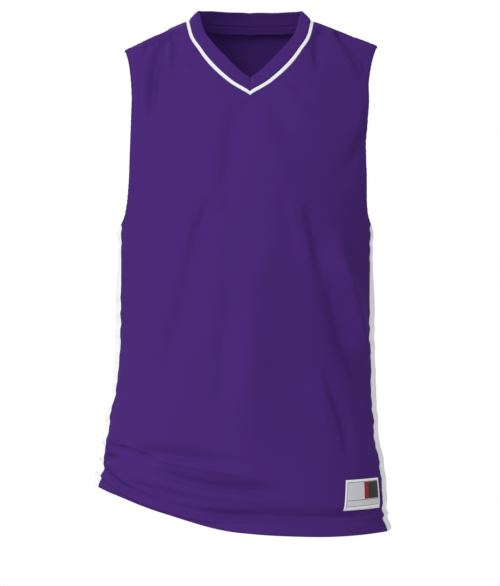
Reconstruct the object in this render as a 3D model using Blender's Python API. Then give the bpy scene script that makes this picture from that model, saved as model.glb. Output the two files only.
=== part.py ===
"""Basketball jersey in its worn shape: a sleeveless V-neck knit top that hangs hollow from the shoulders.

Metres, +Z up, +X to the wearer's left, the front towards -Y. The origin is where the shoulders carry it,
midway between the two points where the shoulder seams meet the neck. The cut pieces are a front and a back
panel, two white side inserts, a mitred collar band, a white neck piping and a woven hem label. Every table is
in millimetres and degrees, and a place on the cloth is given by its turn round the body and its height.
"""

from collections import namedtuple

import bpy
import numpy as np

MM = 0.001

# Cloth walls and seams
PANEL_WALL = 1.6
COLLAR_WALL = 2.4
PIPING_WALL = 2.2
LABEL_WALL = 1.0
SEAM_GAP = 0.3

# Cut
UNDERARM = -295.0  # height of the armhole's foot
UNDERARM_DIP = 9.0  # how far the insert's top edge sags below it
STRIP_HALF = 44.0  # half the width of a side insert
LENGTH = 438.0  # underarm to hem where the hem hangs free
HEM_DEPTH = 26.0
LABEL_FOOT = 34.0  # label's lower edge above the hem
LABEL_HEIGHT = 43.0
COLLAR_WIDTH = 26.0  # piping and band together, from the seam to the top edge
COLLAR_BOW = 0.8  # how far the band stands out along its middle
PIPING_WIDTH = 5.8
PIPING_BOW = 0.5
NECK_HALF = 93.0  # neck point to centre
NECK_RISE = 22.0  # the shoulder ridge, carried on over the neck to the centre
NECK_SET_BACK = 22.0
SHOULDER_BOW = 1.05  # more than 1 bows the shoulder line upwards

# Roundness of the form: 2 is an ellipse, more is squarer
ROUND_TRUNK = 2.2
ROUND_CHEST = 1.7
ROUND_NAPE = 2.0

# Grid
NECK_COLUMNS = 9  # centre front to the neck point
NAPE_COLUMNS = 8  # centre back to the neck point
SHOULDER_COLUMNS = 8
NECK_SHARE = 0.52  # share of a half panel's columns that end on the neckline
YOKE_ROWS = 14
ROW_LAG = 70  # how far up the rows of a column that ends on the neckline stay level with the others
ROW_GATHER = 1.1  # more than 1 sets the yoke's rows closer at the underarm
INSERT_COLUMNS = 6
ROW_STEP = 16.0
HEM_ROWS = 3
LABEL_ROWS = 4
PIPING_COLUMNS = 2
COLLAR_COLUMNS = 3
LABEL_COLUMNS = (1, 7)  # shoulder columns between which the label lies, counted from the neck point
GIRTH_RADIUS = 165.0  # turns a turn into millimetres round the body

FRONT, BACK = -1, 1

# The hollow form from the hem up. Above the underarm only centre and half_width change.
Section = namedtuple("Section", "height centre half_width front back")
SECTIONS = [
    Section(-760, -11, 208, 144, 118),
    Section(-660, -12, 208, 143, 117),
    Section(-600, -13, 200, 141, 113),
    Section(-540, -10, 191, 140, 110),
    Section(-480, -8, 186, 140, 108),
    Section(-400, -7, 185, 140, 110),
    Section(-295, -6, 185, 141, 118),
    Section(-200, -3, 189, 141, 120),
    Section(-100, 0, 199, 141, 120),
    Section(10, 0, 212, 141, 120),
]

# The hem all round. It is lifted on the wearer's right, where the hand in the pocket holds it.
Hem = namedtuple("Hem", "turn height")
HEM = [
    Hem(-180, -719),
    Hem(-130, -690),
    Hem(-90, -667),
    Hem(-60, -675),
    Hem(-30, -698),
    Hem(0, -724),
    Hem(25, -731),
    Hem(60, -732),
    Hem(90, -733),
    Hem(140, -731),
    Hem(180, -719),
]

# Armhole edges from the underarm up: rise is the share of the way to the shoulder tip
Armhole = namedtuple("Armhole", "rise front back")
ARMHOLE = [
    Armhole(0.00, 178, 176),
    Armhole(0.04, 173.5, 174.5),
    Armhole(0.10, 170.5, 173),
    Armhole(0.20, 168.5, 172),
    Armhole(0.40, 168, 171.5),
    Armhole(0.60, 168, 172),
    Armhole(0.75, 168.5, 173),
    Armhole(0.86, 171.5, 175),
    Armhole(0.94, 176, 178),
    Armhole(1.00, 182, 182),
]

# Shoulder tips, by side of the body
Tip = namedtuple("Tip", "out drop")
TIP = {-1: Tip(181, 41), 1: Tip(184, 35)}
TIP_REACH = 0.3  # the smaller, the lower down the armhole a wider tip is felt

# Neck seam from centre front to centre back, and how the collar's top edge stands from it. The columns are
# the station, the seam's distance from the centre, the angle it has climbed over the shoulder line, which
# is at 90, and the top edge's step inwards, back and up.
Neck = namedtuple("Neck", "station out over top_in top_back top_up")
NECK = [
    Neck(0, 0, 38.4, 0, 16, 26.5),
    Neck(1, 29.6, 42.8, 15.6, 10.7, 17.8),
    Neck(2, 56, 49.6, 18.9, 6, 17.1),
    Neck(3, 74, 57.8, 19.3, 10, 13.6),
    Neck(4, 88, 68.8, 20.5, 10.5, 11),
    Neck(5, 93, 90.0, 18, 4, 18),
    Neck(6, 86, 100.8, 13.5, -4, 22),
    Neck(7, 68, 107.0, 9.5, -8, 24),
    Neck(8, 38, 112.0, 5, -11, 25),
    Neck(9, 0, 114.1, 0, -12, 25.5),
]
NECK_POINT = 5  # the station where the shoulder seam meets the neck
NAPE = 9

# Soft folds. Each runs from start over middle to end, as millimetres round the body from the centre front
# and a height. A rise stands out from the form and a hollow goes in.
Fold = namedtuple("Fold", "start middle end half_width rise")
FOLDS = [
    # right shoulder and chest
    Fold((-104, -12), (-124, -95), (-112, -225), 16, -5.0),
    Fold((-150, -50), (-146, -130), (-130, -250), 16, 3.0),
    # left shoulder: the deep crease from the seam to the armhole
    Fold((98, -2), (118, -42), (158, -84), 13, -6.0),
    Fold((82, -30), (104, -72), (140, -112), 15, 3.0),
    Fold((38, -90), (62, -122), (76, -150), 14, -3.0),
    Fold((160, -105), (148, -180), (124, -245), 16, -4.0),
    Fold((208, -222), (182, -238), (146, -268), 15, -5.0),
    # below the V
    Fold((-3, -125), (-14, -200), (-38, -285), 16, -3.5),
    Fold((4, -125), (16, -190), (44, -262), 18, 3.5),
    # right of the front, from the chest to the side
    Fold((-44, -245), (-78, -370), (-196, -530), 20, -5.5),
    Fold((-26, -300), (-30, -470), (-66, -610), 22, 3.5),
    # centre ridge
    Fold((8, -270), (6, -450), (16, -650), 26, 4.5),
    # left of the front, the longest pair
    Fold((62, -250), (98, -380), (206, -566), 21, -9.0),
    Fold((92, -250), (140, -380), (220, -520), 22, 6.5),
    Fold((110, -550), (126, -600), (156, -665), 18, -6.0),
    # bunched at the right hip, running round the side
    Fold((-300, -600), (-150, -606), (8, -668), 12, -6.0),
    Fold((-290, -622), (-170, -622), (-60, -662), 12, 5.0),
    Fold((-160, -622), (-60, -672), (104, -700), 14, -4.5),
    Fold((-250, -628), (-160, -682), (-36, -703), 12, -4.0),
    Fold((-290, -560), (-225, -566), (-160, -580), 14, 4.5),
    Fold((-310, -640), (-262, -645), (-215, -640), 13, 4.5),
    # sides
    Fold((262, -360), (272, -480), (250, -600), 15, 3.0),
    Fold((-262, -330), (-275, -440), (-256, -540), 14, 3.0),
    # back: from the shoulder blades down, and drawn to the lifted hip
    Fold((400, -120), (380, -260), (396, -420), 18, -4.5),
    Fold((-400, -130), (-384, -260), (-402, -400), 18, -4.5),
    Fold((452, -330), (440, -480), (410, -640), 22, -6.0),
    Fold((-462, -320), (-430, -450), (-330, -570), 20, -6.5),
    Fold((505, -380), (500, -520), (486, -680), 24, 5.5),
    Fold((-428, -400), (-440, -530), (-470, -680), 22, 5.0),
    Fold((-300, -606), (-380, -630), (-480, -690), 12, -5.0),
    Fold((360, -430), (340, -540), (330, -660), 18, 4.5),
]
FOLD_SAMPLES = 24
FOLD_TAPER = 0.7  # less than 1 keeps a fold full for longer towards its ends
SHOULDER_FADE = 0.12  # folds die away over this share of the depth next to the shoulder seam

# The turned hem: bands round the body that stand out or lie in, by their height above the hem's edge
Band = namedtuple("Band", "above half_width rise")
HEM_BANDS = [
    Band(HEM_DEPTH, 6, -1.4),  # pulled in along the stitching
    Band(12, 8, 0.9),
]

# Finishes: colour, roughness
PURPLE = ((0.075, 0.026, 0.185, 1), 0.75)
WHITE = ((0.80, 0.80, 0.82, 1), 0.70)
LABEL_GREY = ((0.62, 0.61, 0.66, 1), 0.45)
SHARP = 0.7  # edges turned further than this, in radians, stay crisp


# ---- Reading the tables ----


def read(table, column, at):
    """A column of a table, read smoothly at any value of the table's first column."""
    keys = np.array([row[0] for row in table], float)
    values = np.array([getattr(row, column) for row in table], float)
    slopes = np.gradient(values, keys)
    at = np.clip(np.asarray(at, float), keys[0], keys[-1])
    i = np.clip(np.searchsorted(keys, at, side="right") - 1, 0, len(keys) - 2)
    step = keys[i + 1] - keys[i]
    t = (at - keys[i]) / step
    low = (2 * t**3 - 3 * t**2 + 1) * values[i] + (t**3 - 2 * t**2 + t) * step * slopes[i]
    high = (3 * t**2 - 2 * t**3) * values[i + 1] + (t**3 - t**2) * step * slopes[i + 1]
    return low + high


def by_side(x, values):
    """One of a left and a right value, by the sign of x."""
    return np.where(np.asarray(x) < 0, values[-1], values[1])


# ---- The hollow form ----


def depth_at(face, height):
    """Depth of the form, on the front or the back."""
    return read(SECTIONS, "front" if face == FRONT else "back", height)


def ridge(x):
    """Set-back and height of the shoulder line above x, carried on over the neck."""
    inner = np.minimum(np.abs(x), NECK_HALF) / NECK_HALF
    tip_out = by_side(x, {side: tip.out for side, tip in TIP.items()})
    tip_drop = by_side(x, {side: tip.drop for side, tip in TIP.items()})
    outer = np.maximum(np.abs(x) - NECK_HALF, 0) / (tip_out - NECK_HALF)
    back = NECK_SET_BACK * (1 - inner**2) ** 2
    slope = tip_drop / (tip_out - NECK_HALF) * NECK_HALF
    height = NECK_RISE * (1 - 3 * inner**2 + 2 * inner**3) + slope * (inner**2 - inner**3)
    return back, height - tip_drop * outer**SHOULDER_BOW


def trunk_point(turn, height):
    """The form below the underarm, at a turn in degrees from the centre front."""
    turn = np.radians(turn)
    power = 2 / ROUND_TRUNK
    across = np.abs(np.sin(turn)) ** power * np.sign(turn)
    along = np.abs(np.cos(turn)) ** power
    depth = np.where(np.cos(turn) > 0, -depth_at(FRONT, height), depth_at(BACK, height))
    x = read(SECTIONS, "centre", height) + read(SECTIONS, "half_width", height) * across
    return np.stack([x, depth * along, height + 0 * x], -1)


def yoke_point(face, x, climb):
    """The form above the underarm: climb goes from 0 at the underarm to 90 degrees at the shoulder line."""
    power = 2 / (ROUND_CHEST if face == FRONT else ROUND_NAPE)
    rise = np.sin(np.radians(climb)) ** power
    reach = np.cos(np.radians(climb)) ** power
    back, top = ridge(x)
    height = UNDERARM + (top - UNDERARM) * rise
    out = np.abs(x - read(SECTIONS, "centre", height)) / read(SECTIONS, "half_width", height)
    bulge = (1 - np.clip(out, 0, 1) ** ROUND_TRUNK) ** (1 / ROUND_TRUNK)
    y = back * (1 - reach) + face * depth_at(face, height) * bulge * reach
    return np.stack([x, y, height], -1)


def seam_turn(face, height, half_strip):
    """The turn of the seam beside an insert, counted from the centre of that face."""
    share = half_strip / depth_at(face, height)
    return np.degrees(np.arccos(share ** (ROUND_TRUNK / 2)))


def turn_of(face, points):
    """The turn of points on a panel."""
    x, height = points[..., 0], points[..., 2]
    out = (x - read(SECTIONS, "centre", height)) / read(SECTIONS, "half_width", height)
    turn = np.degrees(np.arcsin(np.clip(np.abs(out), 0, 1) ** (ROUND_TRUNK / 2))) * np.sign(out)
    return turn if face == FRONT else np.where(turn < 0, -180 - turn, 180 - turn)


def outward(points, turn):
    """Unit normals of the form."""
    height = points[..., 2]
    face = np.where(np.abs(turn) < 90, FRONT, BACK)
    depth = np.where(face == FRONT, depth_at(FRONT, height), depth_at(BACK, height))
    power = 2 - 2 / ROUND_TRUNK
    across = np.sin(np.radians(turn))
    along = np.cos(np.radians(turn))
    nx = np.sign(across) * np.abs(across) ** power / read(SECTIONS, "half_width", height)
    ny = face * np.abs(along) ** power / depth
    length = np.hypot(nx, ny)
    back, top = ridge(points[..., 0])
    rise = np.clip((height - UNDERARM) / (top - UNDERARM), 0, 1)
    curve = np.where(face == FRONT, ROUND_CHEST, ROUND_NAPE)
    reach = (1 - rise**curve) ** (1 / curve)
    level = reach ** (curve - 1) / depth
    steep = rise ** (curve - 1) / (top - UNDERARM)
    tilt = np.arctan2(steep, level)
    return np.stack([nx / length * np.cos(tilt), ny / length * np.cos(tilt), np.sin(tilt)], -1), reach


# ---- Folds ----


def fold_path(fold):
    """Points along a fold, and how strongly it shows at each."""
    t = np.linspace(0, 1, FOLD_SAMPLES)
    start, middle, end = (np.array(place, float) for place in (fold.start, fold.middle, fold.end))
    pull = 2 * middle - (start + end) / 2
    t = t[:, None]
    path = (1 - t) ** 2 * start + 2 * t * (1 - t) * pull + t**2 * end
    return path, np.sin(np.pi * t[:, 0]) ** FOLD_TAPER


def fold_rise(turn, height):
    """How far the folds push the cloth out of the form."""
    around = np.radians(turn) * GIRTH_RADIUS
    girth = 2 * np.pi * GIRTH_RADIUS
    total = np.zeros(np.shape(height))
    for fold in FOLDS:
        path, strength = fold_path(fold)
        centre = path[:, 0].mean()
        near = around + girth * np.round((centre - around) / girth)
        place = np.stack([near, height], -1)[..., None, :]
        a, b = path[:-1], path[1:]
        step = b - a
        t = np.clip(((place - a) * step).sum(-1) / (step**2).sum(-1), 0, 1)
        away = np.linalg.norm(place - (a + t[..., None] * step), axis=-1)
        level = strength[:-1] + t * (strength[1:] - strength[:-1])
        shown = level * np.exp(-((away / fold.half_width) ** 2))
        total += fold.rise * shown.max(-1)
    return total


def hem_rise(above_hem):
    """How far the turned hem stands out of the form."""
    return sum(band.rise * np.exp(-(((above_hem - band.above) / band.half_width) ** 2)) for band in HEM_BANDS)


def folded(points, turn, above_hem):
    """Points of the form moved out or in by the folds and the hem, and the form's normals there."""
    normal, reach = outward(points, turn)
    fade = np.clip(reach / SHOULDER_FADE, 0, 1)
    rise = fold_rise(turn, points[..., 2]) * fade + hem_rise(above_hem)
    return points + normal * rise[..., None], normal


# ---- Panels ----


def trunk_rows():
    """Heights above the hem of the rows up to the underarm, some on the hem stitching and the label."""
    hem = np.linspace(0, HEM_DEPTH, HEM_ROWS)
    label = np.linspace(LABEL_FOOT, LABEL_FOOT + LABEL_HEIGHT, LABEL_ROWS)
    last = label[-1]
    count = round((LENGTH - last) / ROW_STEP)
    return np.concatenate([hem, label, np.linspace(last, LENGTH, count + 1)[1:]])


def shares(neck_columns):
    """Column places across a panel, from -1 to 1, closer together where they end on the neckline."""
    neck = np.linspace(0, NECK_SHARE, neck_columns + 1)
    shoulder = np.linspace(NECK_SHARE, 1, SHOULDER_COLUMNS + 1)[1:]
    half = np.concatenate([neck, shoulder])
    return np.concatenate([-half[:0:-1], half])


def station(face, neck_columns):
    """The neck stations at which a half panel's columns end."""
    first, last = (0, NECK_POINT) if face == FRONT else (NAPE, NECK_POINT)
    return np.linspace(first, last, neck_columns + 1)


def panel_tops(face, share, neck_columns):
    """Where each column ends at the top: x, and the climb there."""
    stations = station(face, neck_columns)
    out = np.interp(np.abs(share), np.linspace(0, NECK_SHARE, neck_columns + 1), stations)
    neck_x = read(NECK, "out", out) * np.sign(share)
    neck_climb = 90 - np.abs(90 - read(NECK, "over", out))
    tip_x = by_side(share, {side: tip.out for side, tip in TIP.items()})
    along = (np.abs(share) - NECK_SHARE) / (1 - NECK_SHARE)
    shoulder_x = np.sign(share) * (NECK_HALF + (tip_x - NECK_HALF) * along)
    on_neck = np.abs(share) < NECK_SHARE - 1e-6
    return np.where(on_neck, neck_x, shoulder_x), np.where(on_neck, neck_climb, 90.0)


def panel(face, neck_columns):
    """Rows of points and normals of the front or back panel, from the hem to the neck and shoulder seams."""
    share = shares(neck_columns)
    rows = []
    half_strip = STRIP_HALF + SEAM_GAP / 2
    for above in trunk_rows():
        up = above / LENGTH
        turn = share * seam_turn(face, UNDERARM, half_strip)
        for _ in range(2):
            here = turn if face == FRONT else np.where(turn < 0, -180 - turn, 180 - turn)
            height = read(HEM, "height", here) * (1 - up) + UNDERARM * up
            turn = share * seam_turn(face, height, half_strip)
        here = turn if face == FRONT else np.where(turn < 0, -180 - turn, 180 - turn)
        rows.append(folded(trunk_point(here, height), here, above))

    top_x, top_climb = panel_tops(face, share, neck_columns)
    edge_column = "front" if face == FRONT else "back"
    tip_x = by_side(share, {side: tip.out for side, tip in TIP.items()})
    section_share = np.abs(np.sin(np.radians(turn)) / np.sin(np.radians(turn[-1])))
    section_share = section_share ** (2 / ROUND_TRUNK) * np.sign(share)
    power = 2 / (ROUND_CHEST if face == FRONT else ROUND_NAPE)
    # rows stay level near the shoulders and are gathered in only below the neckline
    short = 90 - top_climb
    lag = np.clip(ROW_LAG / np.maximum(short, 1), 1, 3)
    for up in np.linspace(0, 1, YOKE_ROWS + 1)[1:] ** ROW_GATHER:
        rise = np.sin(np.radians(90 * up)) ** power
        edge = read(ARMHOLE, edge_column, rise) + (tip_x - ARMHOLE[-1].front) * rise**TIP_REACH
        blend = up * up * (3 - 2 * up)
        across = section_share * (1 - blend) + top_x / tip_x * blend
        centre = read(SECTIONS, "centre", UNDERARM) * (1 - rise)
        x = centre + edge * across
        points = yoke_point(face, x, 90 * up - short * up**lag)
        rows.append(folded(points, turn_of(face, points), np.full(x.shape, LENGTH)))
    grid, normal = (np.array(part) for part in zip(*rows))
    grid[-1, :, 1] += face * SEAM_GAP / 2 * (np.abs(share) > NECK_SHARE - 1e-6)
    return grid, normal


def insert(side):
    """Rows of points and normals of a side insert, from the hem to the underarm."""
    half_strip = STRIP_HALF - SEAM_GAP / 2
    rows = []
    for above in trunk_rows():
        up = above / LENGTH
        height = np.full(INSERT_COLUMNS + 1, UNDERARM)
        for _ in range(3):
            first = seam_turn(FRONT, height[0], half_strip)
            last = 180 - seam_turn(BACK, height[-1], half_strip)
            turn = np.linspace(first, last, INSERT_COLUMNS + 1) * side
            dip = UNDERARM_DIP * np.sin(np.linspace(0, np.pi, INSERT_COLUMNS + 1)) ** 1.5
            height = read(HEM, "height", turn) * (1 - up) + (UNDERARM - dip) * up
        rows.append(folded(trunk_point(turn, height), turn, above))
    return [np.array(part) for part in zip(*rows)]


def round_neck(front_edge, back_edge):
    """Values along the two panels' top edges, joined from the centre front round to it again."""
    middle = len(front_edge) // 2
    nape = len(back_edge) // 2
    right_front = front_edge[middle - NECK_COLUMNS : middle + 1][::-1]
    right_back = back_edge[nape - NAPE_COLUMNS : nape + 1]
    left_back = back_edge[nape : nape + NAPE_COLUMNS + 1]
    left_front = front_edge[middle : middle + NECK_COLUMNS + 1][::-1]
    return np.concatenate([right_front[:-1], right_back, left_back[1:-1], left_front])


def collar_step(seam):
    """The step from the neck seam to the collar's top edge, at each point of the seam."""
    front_at = station(FRONT, NECK_COLUMNS)
    back_at = station(BACK, NAPE_COLUMNS)
    at = np.concatenate([front_at[:-1], back_at[::-1], back_at[1:-1], front_at[::-1]])
    side = np.concatenate([-np.ones(NECK_COLUMNS + NAPE_COLUMNS + 1), np.ones(NECK_COLUMNS + NAPE_COLUMNS)])
    inward, back, up = (read(NECK, column, at) for column in ("top_in", "top_back", "top_up"))
    return np.stack([-side * inward, back, up], -1)


def collar_strip(seam, seam_normal, step, near, far, columns, bow):
    """Rows of points and normals of a strip along the neck seam, near to far off it, bowed outwards.

    The normals turn from the panels' at the seam to the collar's own over the width of the piping.
    """
    out = np.cross(step, np.gradient(seam, axis=0))
    out /= np.linalg.norm(out, axis=-1, keepdims=True)
    points, normals = [], []
    for share in np.linspace(0, 1, columns + 1):
        reach = near + (far - near) * share
        points.append(seam + step * reach / COLLAR_WIDTH + out * bow * np.sin(np.pi * share))
        turned = min(reach / PIPING_WIDTH, 1)
        normal = seam_normal * (1 - turned) + out * turned
        normal[[0, -1], 0] = 0  # the two ends meet flat at the mitre
        normals.append(normal / np.linalg.norm(normal, axis=-1, keepdims=True))
    return np.array(points), np.array(normals)


# ---- Solids ----


def finish(name, colour, roughness):
    material = bpy.data.materials.new(name)
    material.use_nodes = True
    shader = material.node_tree.nodes["Principled BSDF"]
    shader.inputs["Base Color"].default_value = colour
    shader.inputs["Roughness"].default_value = roughness
    shader.inputs["Metallic"].default_value = 0.0
    return material


def cloth(name, grid, normal, wall, material, collection, flip=False):
    """A sheet through a grid of points with a wall on its inner side.

    The wall runs in along the form's own normals, so walls that meet at a seam have parallel edges.
    """
    rows, columns = grid.shape[:2]
    inner = grid - normal * wall
    count = rows * columns
    at = np.arange(count).reshape(rows, columns)
    faces = []
    for r in range(rows - 1):
        for c in range(columns - 1):
            low, right, high, left = at[r, c], at[r, c + 1], at[r + 1, c + 1], at[r + 1, c]
            # the diagonals follow the folds, which run down and outwards on both halves
            if grid[r, c : c + 2, 0].mean() < 0:
                pair = [[low, right, high], [low, high, left]]
            else:
                pair = [[low, right, left], [right, high, left]]
            faces += pair + [[v + count for v in three[::-1]] for three in pair]
    border = np.concatenate([at[0, :-1], at[:-1, -1], at[-1, :0:-1], at[:0:-1, 0]])
    for a, b in zip(border, np.roll(border, -1)):
        # both walls of a seam split their edge faces along the same diagonal
        if a < b:
            faces += [[b, a, b + count], [a, a + count, b + count]]
        else:
            faces += [[b, a, a + count], [b, a + count, b + count]]
    if flip:
        faces = [three[::-1] for three in faces]
    points = np.concatenate([grid.reshape(-1, 3), inner.reshape(-1, 3)]) * MM
    mesh = bpy.data.meshes.new(name)
    mesh.from_pydata(points.tolist(), [], [[int(v) for v in three] for three in faces])
    mesh.update()
    mesh.shade_smooth()
    mesh.set_sharp_from_angle(angle=SHARP)
    mesh.materials.append(material)
    collection.objects.link(bpy.data.objects.new(name, mesh))


def clear_scene():
    for old in list(bpy.data.objects):
        bpy.data.objects.remove(old, do_unlink=True)


def main():
    clear_scene()
    jersey = bpy.data.collections.new("basketball_jersey")
    bpy.context.scene.collection.children.link(jersey)
    purple = finish("purple_knit", *PURPLE)
    white = finish("white_knit", *WHITE)
    grey = finish("label_satin", *LABEL_GREY)

    front, front_normal = panel(FRONT, NECK_COLUMNS)
    back, back_normal = panel(BACK, NAPE_COLUMNS)
    cloth("front_panel", front, front_normal, PANEL_WALL, purple, jersey)
    cloth("back_panel", back, back_normal, PANEL_WALL, purple, jersey, flip=True)
    for side, name in ((-1, "side_insert_right"), (1, "side_insert_left")):
        cloth(name, *insert(side), PANEL_WALL, white, jersey, flip=side < 0)

    seam = round_neck(front[-1], back[-1])
    seam[0, 0] -= SEAM_GAP / 2
    seam[-1, 0] += SEAM_GAP / 2
    neck = seam, round_neck(front_normal[-1], back_normal[-1]), collar_step(seam)
    piping = collar_strip(*neck, SEAM_GAP, PIPING_WIDTH, PIPING_COLUMNS, PIPING_BOW)
    band = collar_strip(*neck, PIPING_WIDTH + SEAM_GAP, COLLAR_WIDTH, COLLAR_COLUMNS, COLLAR_BOW)
    cloth("neck_piping", *piping, PIPING_WALL, white, jersey, flip=True)
    cloth("collar_band", *band, COLLAR_WALL, purple, jersey, flip=True)

    first = front.shape[1] // 2 + NECK_COLUMNS
    columns = slice(first + LABEL_COLUMNS[0], first + LABEL_COLUMNS[1] + 1)
    above = trunk_rows()
    rows = (above > LABEL_FOOT - 1) & (above < LABEL_FOOT + LABEL_HEIGHT + 1)
    rows = np.flatnonzero(rows)
    normal = front_normal[rows, columns]
    patch = front[rows, columns] + normal * (LABEL_WALL + SEAM_GAP)
    cloth("hem_label", patch, normal, LABEL_WALL, grey, jersey)


main()
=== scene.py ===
# %% [markdown]
# # A basketball jersey
# This is a sleeveless V-neck top, cut from smooth knit cloth and sewn from a front and a back panel, two
# white side inserts, a mitred collar band, a narrow white piping and a woven label near the hem. It hangs
# from the shoulders of somebody who isn't shown, so it is a hollow shell, open at the neck, the armholes and
# the hem.
#
# The packed model gives the jersey's place, size and main form. This script makes the same pieces again as
# thin, finely gridded cloth with turned hems, creases, puckered seams, stitching and knitted finishes, and
# each new piece takes the place of the plain one.

from collections import namedtuple

import bpy
import numpy as np
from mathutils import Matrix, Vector


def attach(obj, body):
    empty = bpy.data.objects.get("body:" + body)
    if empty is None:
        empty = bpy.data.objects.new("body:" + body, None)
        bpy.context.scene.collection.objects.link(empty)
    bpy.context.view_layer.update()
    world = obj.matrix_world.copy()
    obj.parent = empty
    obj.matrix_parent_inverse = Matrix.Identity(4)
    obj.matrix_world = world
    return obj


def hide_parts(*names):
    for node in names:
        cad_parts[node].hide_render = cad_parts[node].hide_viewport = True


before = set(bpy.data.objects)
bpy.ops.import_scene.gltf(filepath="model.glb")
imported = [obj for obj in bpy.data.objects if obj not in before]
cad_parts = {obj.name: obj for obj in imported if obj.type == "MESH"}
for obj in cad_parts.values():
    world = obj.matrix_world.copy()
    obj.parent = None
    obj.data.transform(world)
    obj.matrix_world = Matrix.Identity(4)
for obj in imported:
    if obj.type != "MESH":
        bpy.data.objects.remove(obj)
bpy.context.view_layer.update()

# %% [markdown]
# ## Camera
# A long lens from more than three metres away keeps the sides of a garment nearly parallel, so its true
# outline shows. The camera stands level with the middle of the jersey and looks straight at its front.

# %% Set up the camera
CAMERA_PLACE = (0.0, -3.2, -0.393)
LENS = 135.6
SENSOR_WIDTH = 36.0


def add_object(name, data):
    """A new object in the scene, which shows the data."""
    made = bpy.data.objects.new(name, data)
    bpy.context.scene.collection.objects.link(made)
    return made


camera_data = bpy.data.cameras.new("camera")
camera_data.lens = LENS
camera_data.sensor_width = SENSOR_WIDTH
camera = add_object("camera", camera_data)
camera.location = CAMERA_PLACE
camera.rotation_euler = (np.pi / 2, 0, 0)
bpy.context.scene.camera = camera
print("camera", CAMERA_PLACE, "lens", LENS, "mm")

# %% [markdown]
# ## Light
# Creases in plain cloth show by shading alone, so the light decides how they read. One large soft key light
# stands to the left and in front. A grid narrows its beam, so the shoulders get less than the hem. A wide
# light behind shows the back, and hardly reaches the front. A pale surround fills the shadows. It is
# brighter to the eye than it is to the cloth, which keeps the background white and the folds deep. Colours
# go straight to the screen, without a film-like curve, so that the purple stays as it is mixed.

# %% Light the studio
Lamp = namedtuple("Lamp", "place aim power spread")  # metres, watts and degrees
LAMPS = {
    "key_light": Lamp((-1.6, -2.4, 1.7), (0.0, 0.0, -0.8), 7.8, 62.0),
    "back_light": Lamp((-1.5, 2.7, 1.5), (0.0, 0.0, -0.38), 50.0, 180.0),
}
LAMP_SIZE = 1.1
SURROUND = 0.57  # its strength on the cloth

for name, lamp in LAMPS.items():
    lamp_data = bpy.data.lights.new(name, "AREA")
    lamp_data.size = LAMP_SIZE
    lamp_data.energy = lamp.power
    lamp_data.spread = np.radians(lamp.spread)
    light = add_object(name, lamp_data)
    light.location = lamp.place
    light.rotation_euler = (Vector(lamp.aim) - Vector(lamp.place)).to_track_quat("-Z", "Y").to_euler()

world = bpy.data.worlds.new("studio")
world.use_nodes = True
bpy.context.scene.world = world
surround = world.node_tree.nodes["Background"]
surround.inputs["Color"].default_value = (1, 1, 1, 1)
rays = world.node_tree.nodes.new("ShaderNodeLightPath")
brightness = world.node_tree.nodes.new("ShaderNodeMapRange")
brightness.inputs["To Min"].default_value = SURROUND
brightness.inputs["To Max"].default_value = 1.0
world.node_tree.links.new(rays.outputs["Is Camera Ray"], brightness.inputs["Value"])
world.node_tree.links.new(brightness.outputs[0], surround.inputs["Strength"])

bpy.context.scene.view_settings.view_transform = "Standard"
bpy.context.scene.view_settings.look = "None"
print("lights", list(LAMPS))

# %% [markdown]
# ## A finish is a small sum
# A material's colour and relief are worked out by nodes. Wiring each node by hand takes many lines, so a
# small class wraps a node's output and lets Python's operators add the Math nodes: `1 - groove * 0.5` reads
# as what it means. The operators differ only in the node's operation, so one function makes them all. Every
# other kind of node comes from the class's one `node` method.


# %% One method for each operator
def adds(operation, swapped=False):
    """A method that adds one Math node, with its two values in order or swapped."""

    def method(self, other=0.0):
        first, second = (other, self) if swapped else (self, other)
        return self.node("ShaderNodeMath", {"operation": operation}, {0: first, 1: second})

    return method


# %% A wire with operators
class Wire:
    """An output of a node in a material. Python's operators on it add Math nodes."""

    __add__ = __radd__ = adds("ADD")
    __mul__ = __rmul__ = adds("MULTIPLY")
    __sub__, __rsub__ = adds("SUBTRACT"), adds("SUBTRACT", swapped=True)
    __truediv__, __rtruediv__ = adds("DIVIDE"), adds("DIVIDE", swapped=True)
    __pow__, __rpow__ = adds("POWER"), adds("POWER", swapped=True)
    __lt__, __gt__ = adds("LESS_THAN"), adds("GREATER_THAN")
    __abs__ = adds("ABSOLUTE")
    fraction = adds("FRACT")
    sine = adds("SINE")
    most = adds("MAXIMUM")

    def __init__(self, tree, socket=None):
        self.tree = tree
        self.socket = socket

    def node(self, kind, settings=None, values=None, output=0):
        """Any node: its settings come first, then the values or links of its sockets."""
        made = self.tree.nodes.new(kind)
        for name, value in (settings or {}).items():
            setattr(made, name, value)
        for name, value in (values or {}).items():
            if isinstance(value, Wire):
                self.tree.links.new(value.socket, made.inputs[name])
            else:
                made.inputs[name].default_value = value
        return Wire(self.tree, made.outputs[output])

    def other(self, output):
        """Another output of the same node."""
        return Wire(self.tree, self.socket.node.outputs[output])

    def mix(self, factor, low, high):
        """A colour between two, by a value from 0 to 1."""
        return self.node("ShaderNodeMix", {"data_type": "RGBA"}, {0: factor, 6: low, 7: high}, output=2)

    def wave(self):
        """A value that swings from 0 to 1 and back as this one grows by 1."""
        return (self * (2 * np.pi)).sine() * 0.5 + 0.5

    def raises(self, shader, strength, depth):
        """Relief on the shader's surface, by a height from 0 to 1 and a depth in metres."""
        bump = self.node("ShaderNodeBump", values={"Strength": strength, "Distance": depth, "Height": self})
        bump.feeds(shader, "Normal")

    def feeds(self, shader, name):
        """Link this output to one of the shader's sockets."""
        self.tree.links.new(self.socket, shader.inputs[name])


made_by_adds = [name for name, value in vars(Wire).items() if getattr(value, "__name__", "") == "method"]
print("operators of a wire:", made_by_adds)


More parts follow.
